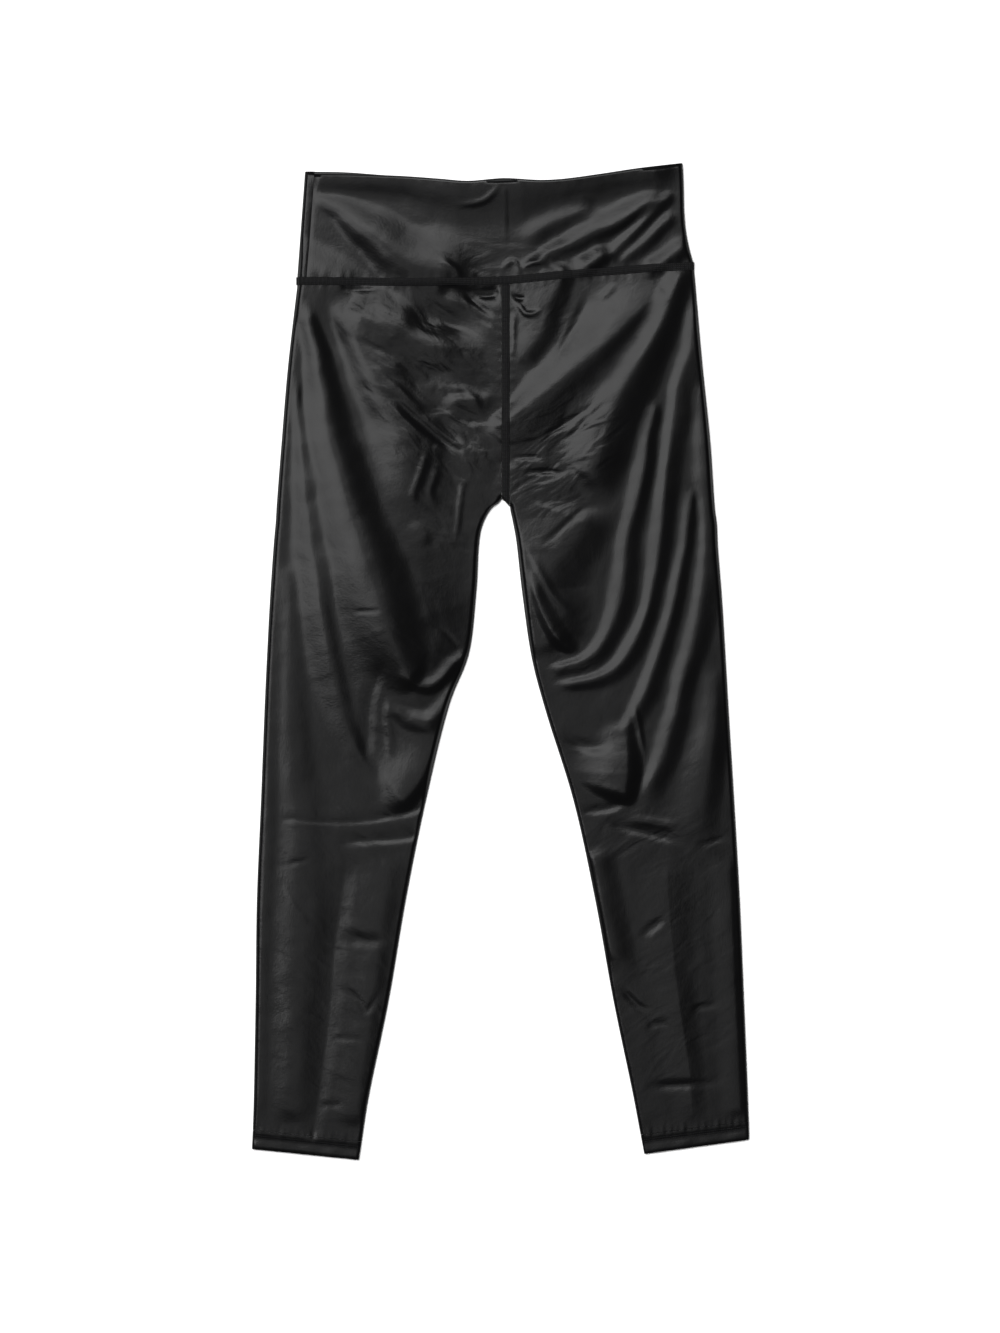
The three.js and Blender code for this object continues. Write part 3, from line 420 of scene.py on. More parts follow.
def curve_point(points, place):
    """Centripetal Catmull-Rom curve through the points. place counts from point to point."""
    points = np.asarray(points, float)
    points = np.vstack([2 * points[0] - points[1], points, 2 * points[-1] - points[-2]])
    place = np.atleast_1d(np.asarray(place, float))
    index = np.clip(place.astype(int), 0, len(points) - 4)
    share = (place - index)[:, None]
    before, start, end, after = (points[index + k] for k in range(4))
    pairs = ((before, start), (start, end), (end, after))
    gap = [np.sqrt(np.linalg.norm(b - a, axis=1))[:, None] for a, b in pairs]
    leave = (start - before) / gap[0] - (end - before) / (gap[0] + gap[1]) + (end - start) / gap[1]
    arrive = (end - start) / gap[1] - (after - start) / (gap[1] + gap[2]) + (after - end) / gap[2]
    leave, arrive = leave * gap[1], arrive * gap[1]
    s2, s3 = share**2, share**3
    return (
        (2 * s3 - 3 * s2 + 1) * start + (s3 - 2 * s2 + share) * leave
        + (3 * s2 - 2 * s3) * end + (s3 - s2) * arrive
    )


def line_height(points, x):
    """y of a line that is given by points, at any x."""
    points = np.asarray(points, float)
    x = np.asarray(x, float)
    i = np.clip(np.searchsorted(points[:, 0], x) - 1, 0, len(points) - 2)
    a, b = points[i], points[i + 1]
    before, after = points[np.maximum(i - 1, 0)], points[np.minimum(i + 2, len(points) - 1)]
    span = b[..., 0] - a[..., 0]
    slope_a = (b[..., 1] - before[..., 1]) / (b[..., 0] - before[..., 0])
    slope_b = (after[..., 1] - a[..., 1]) / (after[..., 0] - a[..., 0])
    t = np.clip((x - a[..., 0]) / span, 0, 1)
    t2, t3 = t * t, t * t * t
    return (
        (2 * t3 - 3 * t2 + 1) * a[..., 1] + (t3 - 2 * t2 + t) * span * slope_a
        + (3 * t2 - 2 * t3) * b[..., 1] + (t3 - t2) * span * slope_b
    )


def sized(sizes, along):
    """A fold's size at shares of its path."""
    sizes = np.atleast_1d(sizes)
    return np.interp(along, np.linspace(0, 1, len(sizes)), sizes)


def fold_lift(fold, x, y):
    """How far one fold lifts or lowers the upper layer at each point."""
    count = (len(fold.path) - 1) * PATH_STEPS
    line = curve_point(fold.path, np.linspace(0, len(fold.path) - 1, count + 1))
    reach = max(np.max(fold.left), np.max(fold.right))
    low, high = line.min(0) - reach, line.max(0) + reach
    near = np.flatnonzero((x > low[0]) & (x < high[0]) & (y > low[1]) & (y < high[1]))
    lift = np.zeros_like(x)
    if not len(near):
        return lift
    px, py = x[near], y[near]
    best = np.full(len(near), np.inf)
    along = np.zeros(len(near))
    side = np.ones(len(near))
    for i in range(count):
        (ax, ay), (bx, by) = line[i], line[i + 1]
        step_x, step_y = bx - ax, by - ay
        share = np.clip(((px - ax) * step_x + (py - ay) * step_y) / (step_x**2 + step_y**2), 0, 1)
        off_x, off_y = px - ax - share * step_x, py - ay - share * step_y
        distance = np.hypot(off_x, off_y)
        closer = distance < best
        best = np.where(closer, distance, best)
        along = np.where(closer, (i + share) / count, along)
        side = np.where(closer, np.sign(step_x * off_y - step_y * off_x), side)
    spread = np.where(side > 0, sized(fold.left, along), sized(fold.right, along))
    u = np.clip(best / spread, 0, 1)
    soft, pressed = 0.5 * (1 + np.cos(math.pi * u)), (1 - u) ** 2
    grow = smooth(along / fold.fade[0]) * smooth((1 - along) / fold.fade[1])
    lift[near] = sized(fold.rise, along) * grow * lerp(soft, pressed, fold.sharp)
    return lift


def rounded(distance, reach):
    """Comes up from 0 at an edge to 1 over the reach, as a round shoulder."""
    return np.sin(math.pi / 2 * np.clip(distance / reach, 0, 1))


def upper_height(x, y, to_fold, edge, crown, cloth, to_lip=None, roll=ROLL):
    """Height of the upper layer's outer face, in millimetres."""
    flat_x, flat_y = np.ravel(x), np.ravel(y)
    creases = sum(fold_lift(fold, flat_x, flat_y) for fold in FOLDS).reshape(np.shape(x))
    lip_up = 1.0 if to_lip is None else rounded(to_lip, LIP_ROLL)
    body = edge + (crown - edge) * rounded(to_fold, roll) * lip_up
    height = body + creases * smooth(to_fold, 0, CREASE_FADE) * lip_up
    return np.maximum(height, 2 * cloth + LEAST_AIR)


# A section of a piece is a list of columns (share, added, height). A column stands at share of the width
# plus added millimetres, at a height of its own or, where that is TOP, on the upper layer.
TOP = math.nan


def span(start, end, steps, height):
    """Columns in even steps from one (share, added) to another."""
    return [(*lerp(np.array(start), np.array(end), k / steps), height) for k in range(steps + 1)]


def turn(side, edge, inset, start, end):
    """Columns round a folded edge, on side 0 or 1. The angle is 0 on the upper layer and pi below."""
    reach = edge / 2 + GAP
    outward = 1 if side else -1
    steps = round(abs(end - start) / math.pi * TURN_STEPS)
    columns = []
    for angle in np.linspace(start, end, steps + 1):
        added = outward * ((reach - inset) * math.sin(angle) - reach)
        columns.append((side, added, edge / 2 + (edge / 2 - inset) * math.cos(angle)))
    return columns


def tube_columns(edge, inset, closed, across):
    """A flattened tube's section, from its inner edge over the top, round the outer fold and back below."""
    reach = edge / 2 + GAP
    half_turn = TURN_STEPS // 2
    top = span((0, reach), (1, -reach), across, TOP)
    outer_turn = turn(1, edge, inset, 0, math.pi)[1:-1]
    below = span((1, -reach), (0, reach), across // UNDER_STEP, inset)
    if closed:
        start = turn(0, edge, inset, math.pi / 2, 0)[:-1]
        end = turn(0, edge, inset, math.pi, math.pi / 2)[1:]
    else:
        start = span((0, 0), (0, reach), half_turn, TOP)[:-1]
        end = span((0, reach), (0, 0), half_turn, inset)[1:]
    return np.array(start + top + outer_turn + below + end)


def lay(columns, width, place, top, inset):
    """Points in rows and columns. place(share) and top(x, y, along) give the plan and the upper face."""
    share = columns[..., 0] + columns[..., 1] / width[:, None]
    height = np.broadcast_to(columns[..., 2], share.shape)
    x, y = place(share)
    upper = top(x, y, share * width[:, None]) - inset
    return np.stack([x, y, np.where(np.isnan(height), upper, height)], axis=-1)


def add_object(name, data):
    """Puts a mesh, a light or a camera into the scene."""
    item = bpy.data.objects.new(name, data)
    bpy.context.scene.collection.objects.link(item)
    return item


def grid_faces(first, rows, columns):
    """The numbers of the points of a grid, from first on, and the faces between them."""
    index = first + np.arange(rows * columns).reshape(rows, columns)
    quads = np.stack([index[:-1, :-1], index[1:, :-1], index[1:, 1:], index[:-1, 1:]], axis=-1)
    return index, quads.reshape(-1, 4).tolist()


def lace(one, other):
    """Triangles between two lines of points, which may have different counts."""
    faces = []
    i = j = 0
    while i < len(one) - 1 or j < len(other) - 1:
        one_next = (i + 1) / max(len(one) - 1, 1)
        other_next = (j + 1) / max(len(other) - 1, 1)
        if j == len(other) - 1 or (i < len(one) - 1 and one_next <= other_next):
            faces.append((one[i], one[i + 1], other[j]))
            i += 1
        else:
            faces.append((one[i], other[j + 1], other[j]))
            j += 1
    return faces


def cloth_wall(name, outer, inner, open_rows=(0, 0), lips=(False, False)):
    """A closed wall between an outer and an inner sheet of points.

    open_rows says how many rows, of the outer and inner sheet, have raw side edges. In the rest the side
    edges meet. lips says whether the first and the last row end in a rounded fold.
    """
    outer_index, outer_faces = grid_faces(0, *outer.shape[:2])
    inner_index, inner_faces = grid_faces(outer_index.size, *inner.shape[:2])
    points = [outer.reshape(-1, 3), inner.reshape(-1, 3)]
    faces = outer_faces + inner_faces
    total = outer_index.size + inner_index.size
    for row, is_lip in zip((0, -1), lips):
        line = [outer_index[row]]
        if is_lip:
            a, b = outer[row], inner[row]
            away = outer[row] - outer[row + (1 if row == 0 else -1)]
            away[:, 2] = 0
            away /= np.linalg.norm(away, axis=1)[:, None] + EPSILON
            radius = np.linalg.norm(a - b, axis=1)[:, None] / 2
            for angle in np.linspace(0, math.pi, LIP_STEPS + 1)[1:-1]:
                points.append((a + b) / 2 + (a - b) / 2 * math.cos(angle) + away * radius * math.sin(angle))
                line.append(np.arange(total, total + len(a)))
                total += len(a)
        line.append(inner_index[row])
        for upper, lower in zip(line, line[1:]):
            faces += np.stack([upper[:-1], lower[:-1], lower[1:], upper[1:]], axis=-1).tolist()
    for side in (0, -1):
        if open_rows[0] > 1:
            faces += lace(outer_index[: open_rows[0], side], inner_index[: open_rows[1], side])
    mesh = bpy.data.meshes.new(name)
    mesh.from_pydata((np.vstack(points) * MM).tolist(), [], [list(map(int, face)) for face in faces])
    shape = bmesh.new()
    shape.from_mesh(mesh)
    bmesh.ops.remove_doubles(shape, verts=shape.verts, dist=WELD * MM)
    bmesh.ops.recalc_face_normals(shape, faces=shape.faces)
    shape.to_mesh(mesh)
    shape.free()
    mesh.polygons.foreach_set("use_smooth", [True] * len(mesh.polygons))
    mesh.set_sharp_from_angle(angle=math.radians(SHARP_EDGE))
    return add_object(name, mesh)


# Where the cloth is crumpled finely: the middle of each area, how far it goes across and down, and how
# strongly.
CRUMPLED = (
    # hip and seat
    ((-70, 322), (100, 46), 0.6), ((-62, 262), (86, 60), 0.8), ((-48, 205), (76, 60), 0.9),
    ((-44, 140), (54, 66), 0.4), ((52, 320), (54, 46), 0.25), ((62, 214), (74, 56), 0.8),
    ((42, 172), (62, 48), 0.8), ((52, 116), (50, 60), 0.2),
    # thighs, knees and calves
    ((-70, 30), (70, 60), 0.3), ((58, 10), (56, 60), 0.2), ((-120, -60), (90, 80), 0.12),
    ((140, -90), (80, 80), 0.12), ((-130, -165), (120, 50), 0.3), ((140, -165), (110, 50), 0.32),
    ((-160, -300), (100, 170), 0.26), ((165, -300), (100, 170), 0.28),
    # waistband
    ((0, 374), (100, 34), 0.3),
)
CRUMPLE_EDGE = 0.7  # share of an area's reach over which its crumples die out
CRUMPLE_STRETCH = 0.42  # a crumple's width as a share of its length


def mark_crumples(piece, tilt):
    """Stores how crumpled the cloth is, and places along and across its crumples, tilt degrees from X."""
    mesh = piece.data
    points = np.zeros(len(mesh.vertices) * 3)
    mesh.vertices.foreach_get("co", points)
    x, y, z = points.reshape(-1, 3).T / MM
    amount = np.zeros(len(x))
    for (middle_x, middle_y), (across, down), strength in CRUMPLED:
        away = np.hypot((x - middle_x) / across, (y - middle_y) / down)
        amount = np.maximum(amount, strength * smooth(1.0 - away, 0.0, CRUMPLE_EDGE))
    mesh.attributes.new("crumple", "FLOAT", "POINT").data.foreach_set("value", amount)
    angle = math.radians(tilt)
    along = x * math.cos(angle) + y * math.sin(angle)
    across = y * math.cos(angle) - x * math.sin(angle)
    place = np.stack([along * CRUMPLE_STRETCH, across, z], axis=-1) * MM
    stored = mesh.attributes.new("crumple place", "FLOAT_VECTOR", "POINT")
    stored.data.foreach_set("vector", place.ravel())


# Puckers beside a seam: short waves that die out away from it.
PUCKER_RISE = 0.13
PUCKER_REACH = 5.0
PUCKER_LENGTHS = (8.3, 13.9, 23.1)
HEM_PUCKER = 1.3  # a hem's puckers are closer together by this
LIP_PUCKER, LIP_PUCKER_RISE = 0.8, 0.7  # the band's lip has longer and lower ones
FAR = 99  # no seam near by


def pucker(to_seam, along):
    """How far a seam's puckers lift the cloth, to_seam away from it."""
    waves = sum(np.sin(2 * math.pi * along / length + length) for length in PUCKER_LENGTHS)
    return PUCKER_RISE * waves / 2 * np.exp(-((np.clip(to_seam, 0, None) / PUCKER_REACH) ** 2))


# A hem is pulled down along its stitches, and below them it flares unevenly.
HEM_STEP = 0.7
HEM_STEP_FROM, HEM_STEP_TO = HEM_STITCH - 4.0, HEM_STITCH + 2.6
HEM_FLARE = 0.5
HEM_FLARE_FROM, HEM_FLARE_TO = HEM_STITCH + 3.0, HEM_STITCH + 6.5
FLARE_WAVES = ((13.1, 0.6), (5.3, 1.0))  # millimetres to a radian, and radians at the start
HEM_LIP_START = LIP_ROLL / 4  # how far up its roll a lip starts
BAND_LIP_START = LIP_ROLL / 5


def hem_height(x, y, down, to_fold, to_lip, station):
    """Height of a hem's upper face before it flares, down millimetres below the leg's last station."""
    crown = station.crown + SEAM_PROUD
    lift = upper_height(x, y, to_fold, HEM_EDGE, crown, HEM_CLOTH, to_lip)
    return lift - HEM_STEP * smooth(down, HEM_STEP_FROM, HEM_STEP_TO)


def leg_places(stations, row_gap):
    """Rows down a leg, counted in stations, evenly spaced along its outer fold."""
    fine = np.linspace(0, len(stations) - 1, FOLD_SAMPLES)
    outer = curve_point([s.outer for s in stations], fine)
    length = np.concatenate([[0], np.cumsum(np.linalg.norm(np.diff(outer, axis=0), axis=1))])
    crotch = np.interp(CROTCH_STATION, fine, length)
    rows = []
    for start, end in ((0, crotch), (crotch, length[-1])):
        steps = round((end - start) / row_gap / INNER_STEP) * INNER_STEP
        rows.append(np.interp(np.linspace(start, end, steps + 1), length, fine))
    return rows


def leg_sheet(stations, places, inset, across):
    """The outer face of a leg's cloth, or with an inset its inner face."""
    index = np.minimum(places.astype(int), len(stations) - 2)
    share_down = places - index
    outer = curve_point([s.outer for s in stations], places)
    inner = curve_point([s.inner for s in stations], places)
    straight = np.array([s.inner for s in stations], float)
    above_crotch = places <= CROTCH_STATION
    inner_straight = lerp(straight[index], straight[index + 1], share_down[:, None])
    inner = np.where(above_crotch[:, None], inner_straight, inner)
    crowns = np.array([s.crown for s in stations])
    crown = lerp(crowns[index], crowns[index + 1], share_down)
    width = np.linalg.norm(outer - inner, axis=1)
    waist_inner, waist_outer = np.array(stations[0].inner), np.array(stations[0].outer)
    towards_waist = (1 - np.clip(places / WAIST_PULL, 0, 1)) ** 2
    closed = places >= CROTCH_STATION - STATION_SLACK

    def place(share):
        waist_x = lerp(waist_inner[0], waist_outer[0], share)
        waist_y = lerp(waist_inner[1], waist_outer[1], share)
        pull = line_height(WAIST_SEAM, waist_x) - SEAM_HALF - GAP - waist_y
        x = lerp(inner[:, :1], outer[:, :1], share)
        y = lerp(inner[:, 1:], outer[:, 1:], share) + pull * towards_waist[:, None]
        return x, y

    def top(x, y, along):
        to_crotch = np.hypot(x - CROTCH[1][0], y - CROTCH[1][1])
        to_inner = np.where(closed[:, None], along, to_crotch)
        to_fold = np.minimum(width[:, None] - along, to_inner)
        lift = upper_height(x, y, to_fold, LEG_EDGE, crown[:, None], LEG_CLOTH)
        to_waist = line_height(WAIST_SEAM, x) - SEAM_HALF - y
        to_rise = np.where(y > CROTCH[1][1], np.abs(x - CENTRE_X) - SEAM_HALF, FAR)
        to_hem = y - line_height(sorted([stations[-1].outer, stations[-1].inner]), x)
        lift += pucker(to_waist, x) + pucker(to_rise, y) + pucker(to_hem, x * HEM_PUCKER)
        return np.maximum(lift, 2 * LEG_CLOTH + LEAST_AIR)

    tube, flat = (tube_columns(LEG_EDGE, inset, is_closed, across)[None] for is_closed in (True, False))
    return lay(np.where(closed[:, None, None], tube, flat), width, place, top, inset)


def leg_panel(name, stations):
    above, below = leg_places(stations, GRID)
    places = np.concatenate([above, below[1:]])
    coarse = np.concatenate([above[::INNER_STEP], below[INNER_STEP::INNER_STEP]])
    outer = leg_sheet(stations, places, 0, LEG_ACROSS)
    inner = leg_sheet(stations, coarse, LEG_CLOTH, LEG_ACROSS)
    return cloth_wall(name, outer, inner, open_rows=(len(above), len(above[::INNER_STEP])))


def hem_ring(name, stations, lower):
    end = stations[-1]
    share_down = np.linspace(0, 1, HEM_ROWS)[:, None]
    outer = lerp(np.array(end.outer), np.array(lower[0]), share_down)
    inner = lerp(np.array(end.inner), np.array(lower[1]), share_down)
    outer[0, 1] -= GAP
    inner[0, 1] -= GAP
    width = np.linalg.norm(outer - inner, axis=1)
    down = share_down * HEM_DEPTH
    to_lip = np.maximum((1 - share_down) * HEM_DEPTH, HEM_LIP_START)

    def place(share):
        return lerp(inner[:, :1], outer[:, :1], share), lerp(inner[:, 1:], outer[:, 1:], share)

    def top(x, y, along):
        to_fold = np.minimum(along, width[:, None] - along)
        lift = hem_height(x, y, down, to_fold, to_lip, end) + pucker(down, x * HEM_PUCKER)
        flare = (1 + math.prod(np.sin(x / length + start) for length, start in FLARE_WAVES)) / 2
        lift += HEM_FLARE * flare * smooth(down, HEM_FLARE_FROM, HEM_FLARE_TO)
        return np.maximum(lift, 2 * HEM_CLOTH + LEAST_AIR)

    sheets = []
    for inset in (0, HEM_CLOTH):
        columns = tube_columns(HEM_EDGE, inset, True, HEM_ACROSS)
        sheets.append(lay(columns, width, place, top, inset))
    return cloth_wall(name, *sheets, lips=(False, True))


def band_place(share, down, peek):
    """Plan of the waistband. share runs from right to left, down from its edge to the seam."""
    first, end = WAIST_EDGE[0], WAIST_EDGE[-1]
    edge_x = lerp(first[0], end[0], share)
    seam_x = lerp(WAIST_SEAM[0][0] + BAND_INSET, WAIST_SEAM[-1][0] - BAND_INSET, share)
    nip = -np.sin(math.pi * down**NIP_PLACE) * BAND_NIP * np.clip(share, 0, 1) ** NIP_SIDE
    lift = peek * (1 - down) * smooth(1 - share, PEEK_FROM, PEEK_TO)
    edge_y = line_height(WAIST_EDGE, edge_x) + lift
    seam_y = line_height(WAIST_SEAM, seam_x) + SEAM_HALF + GAP
    return lerp(edge_x, seam_x, down) + nip, lerp(edge_y, seam_y, down)


def band_panel(name, is_front):
    down = np.linspace(0, 1, BAND_ROWS)[:, None]
    peek = 0 if is_front else BACK_PEEK
    ends = [np.hstack(band_place(np.full_like(down, share), down, peek)) for share in (0, 1)]
    width = np.linalg.norm(ends[1] - ends[0], axis=1)
    depth = line_height(WAIST_EDGE, 0) - line_height(WAIST_SEAM, 0)
    reach = BAND_EDGE / 2 + GAP
    inner_side, outer_side = SIDE_SEAM_SHIFT + SIDE_SEAM_ROOM, SIDE_SEAM_SHIFT - SIDE_SEAM_ROOM

    def place(share):
        return band_place(share, down, peek)

    def top(x, y, along):
        to_fold = np.minimum(along, width[:, None] - along)
        to_lip = np.maximum(down * depth, BAND_LIP_START)
        lift = upper_height(x, y, to_fold, BAND_EDGE, BAND_CROWN, BAND_CLOTH, to_lip, BAND_ROLL)
        lift += pucker((1 - down) * depth, x) + LIP_PUCKER_RISE * pucker(down * depth, x * LIP_PUCKER)
        lift -= SIDE_NOTCH * np.exp(-np.abs(along - SIDE_SEAM_SHIFT) / NOTCH_WIDTH)
        return np.maximum(lift, 2 * BAND_CLOTH + LEAST_AIR)

    sheets = []
    for inset in (0, BAND_CLOTH):
        if is_front:
            columns = (
                span((0, inner_side), (1, -reach), BAND_ACROSS, TOP)
                + turn(1, BAND_EDGE, inset, 0, math.pi)[1:-1]
                + span((1, -reach), (1, -outer_side), BAND_TAIL_STEPS["front"], inset)
            )
        else:
            columns = (
                span((1, -inner_side), (0, reach), BAND_ACROSS // BAND_UNDER_STEP, inset)
                + turn(0, BAND_EDGE, inset, math.pi, 0)[1:-1]
                + span((0, reach), (0, outer_side), BAND_TAIL_STEPS["back"], TOP)
            )
        sheets.append(lay(np.array(columns), width, place, top, inset))
    return cloth_wall(name, *sheets, open_rows=(BAND_ROWS, BAND_ROWS), lips=(True, False))


# The flat seams stand a little above the cloth, are low arches across, and pucker at the pitch of their
# stitches.
SEAM_ARCH = 0.45
SEAM_RIPPLE = 0.1
SEAM_SPREAD = 0.2  # how far the threads spread past the seam's width on each side
STITCH_PITCH = 1.9


def seam_rise(across, along):
    """How far a seam stands above the cloth. across goes from -1 to 1 over its width."""
    ripple = SEAM_RIPPLE * np.sin(2 * math.pi * along / (2 * STITCH_PITCH))
    return SEAM_PROUD + SEAM_ARCH * (1 - across**2) + ripple


def waist_seam_sheet(across, inset, steps):
    start, end = WAIST_SEAM[0][0], WAIST_SEAM[-1][0]
    width = np.full(len(across), end - start, float)

    def place(share):
        x = start + share * (end - start)
        return x, line_height(WAIST_SEAM, x) + across[:, None] * (SEAM_HALF + SEAM_SPREAD)

    def top(x, y, along):
        to_fold = np.minimum(along, width[:, None] - along)
        lift = upper_height(x, y, to_fold, SEAM_EDGE - SEAM_PROUD, WAIST_SEAM_CROWN, SEAM_CLOTH)
        return lift + seam_rise(across[:, None], x)

    return lay(tube_columns(SEAM_EDGE, inset, True, steps), width, place, top, inset)


def rise_seam_sheet(across, inset, steps):
    seam_top = line_height(WAIST_SEAM, CENTRE_X) - SEAM_HALF - GAP
    x_line = CENTRE_X + across * (SEAM_HALF + SEAM_SPREAD)
    width = seam_top - GAP - line_height(CROTCH, x_line)

    def place(share):
        return np.broadcast_to(x_line[:, None], share.shape), seam_top - GAP - share * width[:, None]

    def top(x, y, along):
        lift = upper_height(x, y, width[:, None] - along, LEG_EDGE, RISE_SEAM_CROWN, SEAM_CLOTH)
        return lift + seam_rise(across[:, None], y)

    return lay(tube_columns(SEAM_EDGE, inset, False, steps), width, place, top, inset)


def seam_strip(name, sheet, steps, closed):
    across = np.linspace(1, -1, SEAM_ROWS)
    outer, inner = sheet(across, 0, steps), sheet(across, SEAM_CLOTH, steps)
    open_rows = (0, 0) if closed else (SEAM_ROWS, SEAM_ROWS)
    return cloth_wall(name, outer, inner, open_rows=open_rows)


leg_right = leg_panel("dressed_leg_right", RIGHT_LEG)
leg_left = leg_panel("dressed_leg_left", LEFT_LEG)
hem_right = hem_ring("dressed_hem_right", RIGHT_LEG, HEM_TURN["right"])
hem_left = hem_ring("dressed_hem_left", LEFT_LEG, HEM_TURN["left"])
band_front = band_panel("dressed_waistband_front", True)
band_back = band_panel("dressed_waistband_back", False)
waist_seam = seam_strip("dressed_waist_seam", waist_seam_sheet, WAIST_SEAM_STEPS, True)
rise_seam = seam_strip("dressed_rise_seam", rise_seam_sheet, RISE_SEAM_STEPS, False)

# Stitches: short dashes of thread along the seams.
THREAD = 0.34  # thickness of a stitch
SEAM_THREAD_LIFT = THREAD * 0.2  # its middle lies this far above a seam
HEM_THREAD_LIFT = THREAD * 0.3
STITCH_LENGTH = 1.45
FLAT_SEAM_LINES = (-0.72, -0.26, 0.22, 0.7)  # rows of stitches across a flat seam
STITCH_SLANT = 18.0  # degrees, every other row the other way
SLANT_SPREAD = (0.6, 1.4)  # each stitch turns by its row's slant times a number between these
STITCH_SEED = 7
HEM_ROW_SHIFTS = (-0.9, 0.9)  # the two rows of a hem's coverstitch, from its middle
HEM_LINE_ENDS = (0.03, 0.97)  # shares of the width between which they run


def to_linear(colour):
    """sRGB hex to linear RGBA."""
    channels = [int(colour[i : i + 2], 16) / 255 for i in (1, 3, 5)]
    return (*((c / 12.92 if c <= 0.04045 else ((c + 0.055) / 1.055) ** 2.4) for c in channels), 1.0)


def add_node(tree, kind, links=(), settings=(), **values):
    """Adds a node. links is ((socket it reads, input), ...), settings are its own, values fill its inputs."""
    node = tree.nodes.new(kind)
    for key, value in dict(settings).items():
        setattr(node, key, value)
    for key, value in values.items():
        node.inputs[key.replace("_", " ")].default_value = value
    for source, target in links:
        tree.links.new(source, node.inputs[target])
    return node


def new_material(name, **values):
    """A material, its nodes, its shader with the values given, and the piece's own coordinates."""
    material = bpy.data.materials.new(name)
    material.use_nodes = True
    tree = material.node_tree
    tree.nodes.clear()
    shader = add_node(tree, "ShaderNodeBsdfPrincipled", **values)
    add_node(tree, "ShaderNodeOutputMaterial", [(shader.outputs["BSDF"], "Surface")])
    place = add_node(tree, "ShaderNodeTexCoord")
    return material, tree, shader, place.outputs["Object"]


def scale_of(size):
    """Scale of a pattern whose features are size millimetres across."""
    return 1 / (size * MM)


def finish(tree, shader, tint, dark, light, layers=()):
    """Colours a surface between two shades by the tint pattern, and raises relief on it.

    layers are (pattern, height in millimetres) from the broadest to the finest.
    """
    shades = {"A": to_linear(dark), "B": to_linear(light)}
    mix = add_node(tree, "ShaderNodeMix", [(tint, "Factor")], {"data_type": "RGBA"}, **shades)
    tree.links.new(mix.outputs["Result"], shader.inputs["Base Color"])
    normal = []
    for pattern, height in layers:
        links = [(pattern, "Height"), *normal]
        bump = add_node(tree, "ShaderNodeBump", links, Strength=1.0, Distance=height * MM)
        normal = [(bump.outputs["Normal"], "Normal")]
    for socket, target in normal:
        tree.links.new(socket, shader.inputs[target])


def coated_cloth():
    """Knitted polyester-elastane with a matt polyurethane coating, known as faux leather.

    The coating gives soft, broad, milky highlights on near-black, and lets a little of the knit's grain
    through. The wales of such a knit are usually about 0.5 mm apart. The grain is drawn coarser, to show.
    """
    grain_size, lump_size, drape_size, wear_size, crumple_size = 1.3, 4.5, 26.0, 70.0, 15.0
    material, tree, shader, place = new_material("polyurethane-coated knit", IOR=1.5, Specular_IOR_Level=0.1)
    on_cloth = [(place, "Vector")]
    grain = add_node(
        tree, "ShaderNodeTexVoronoi", on_cloth, {"feature": "SMOOTH_F1"}, Scale=scale_of(grain_size),
    )
    lumps = add_node(tree, "ShaderNodeTexNoise", on_cloth, Scale=scale_of(lump_size), Detail=3.0)
    drape = add_node(tree, "ShaderNodeTexNoise", on_cloth, Scale=scale_of(drape_size), Detail=1.0)
    wear = add_node(tree, "ShaderNodeTexNoise", on_cloth, Scale=scale_of(wear_size), Detail=3.0)
    rough = add_node(
        tree, "ShaderNodeMapRange", [(wear.outputs["Fac"], "Value")],
        From_Min=0.3, From_Max=0.7, To_Min=0.22, To_Max=0.26,
    )
    tree.links.new(rough.outputs["Result"], shader.inputs["Roughness"])
    amount = add_node(tree, "ShaderNodeAttribute", settings={"attribute_name": "crumple"})
    crumple_place = add_node(tree, "ShaderNodeAttribute", settings={"attribute_name": "crumple place"})
    crumples = add_node(
        tree, "ShaderNodeTexNoise", [(crumple_place.outputs["Vector"], "Vector")],
        Scale=scale_of(crumple_size), Detail=1.6, Distortion=0.7,
    )
    crumpled = add_node(
        tree, "ShaderNodeMath", [(crumples.outputs["Fac"], 0), (amount.outputs["Fac"], 1)],
        {"operation": "MULTIPLY"},
    )
    relief = (
        (crumpled.outputs[0], 2.0), (drape.outputs["Fac"], 0.5), (lumps.outputs["Fac"], 0.07),
        (grain.outputs["Distance"], 0.05),
    )
    finish(tree, shader, wear.outputs["Fac"], "#060606", "#080809", relief)
    return material


def seam_cloth():
    """Polyester overlock thread laid side by side over the lapped edges: matt, with fine crosswise ribs.

    Such threads are usually about 0.3 mm thick. The ribs are drawn coarser, so that they show.
    """
    rib_size, lump_size = 0.9, 3.2
    material, tree, shader, place = new_material(
        "flatlock seam of polyester thread", Roughness=0.62, Specular_IOR_Level=0.06,
    )
    on_seam = [(place, "Vector")]
    ribs = add_node(tree, "ShaderNodeTexNoise", on_seam, Scale=scale_of(rib_size), Detail=2.0)
    lumps = add_node(tree, "ShaderNodeTexNoise", on_seam, Scale=scale_of(lump_size), Detail=2.0)
    relief = ((lumps.outputs["Fac"], 0.3), (ribs.outputs["Fac"], 0.12))
    finish(tree, shader, lumps.outputs["Fac"], "#070707", "#0c0c0d", relief)
    return material


def stitch_thread():
    """Textured polyester sewing thread: a soft glint on each stitch."""
    fibre_size = 0.5
    material, tree, shader, place = new_material(
        "polyester sewing thread", Roughness=0.42, Specular_IOR_Level=0.25,
    )
    fibre = add_node(tree, "ShaderNodeTexNoise", [(place, "Vector")], Scale=scale_of(fibre_size), Detail=2.0)
    finish(tree, shader, fibre.outputs["Fac"], "#18181a", "#29292b")
    return material


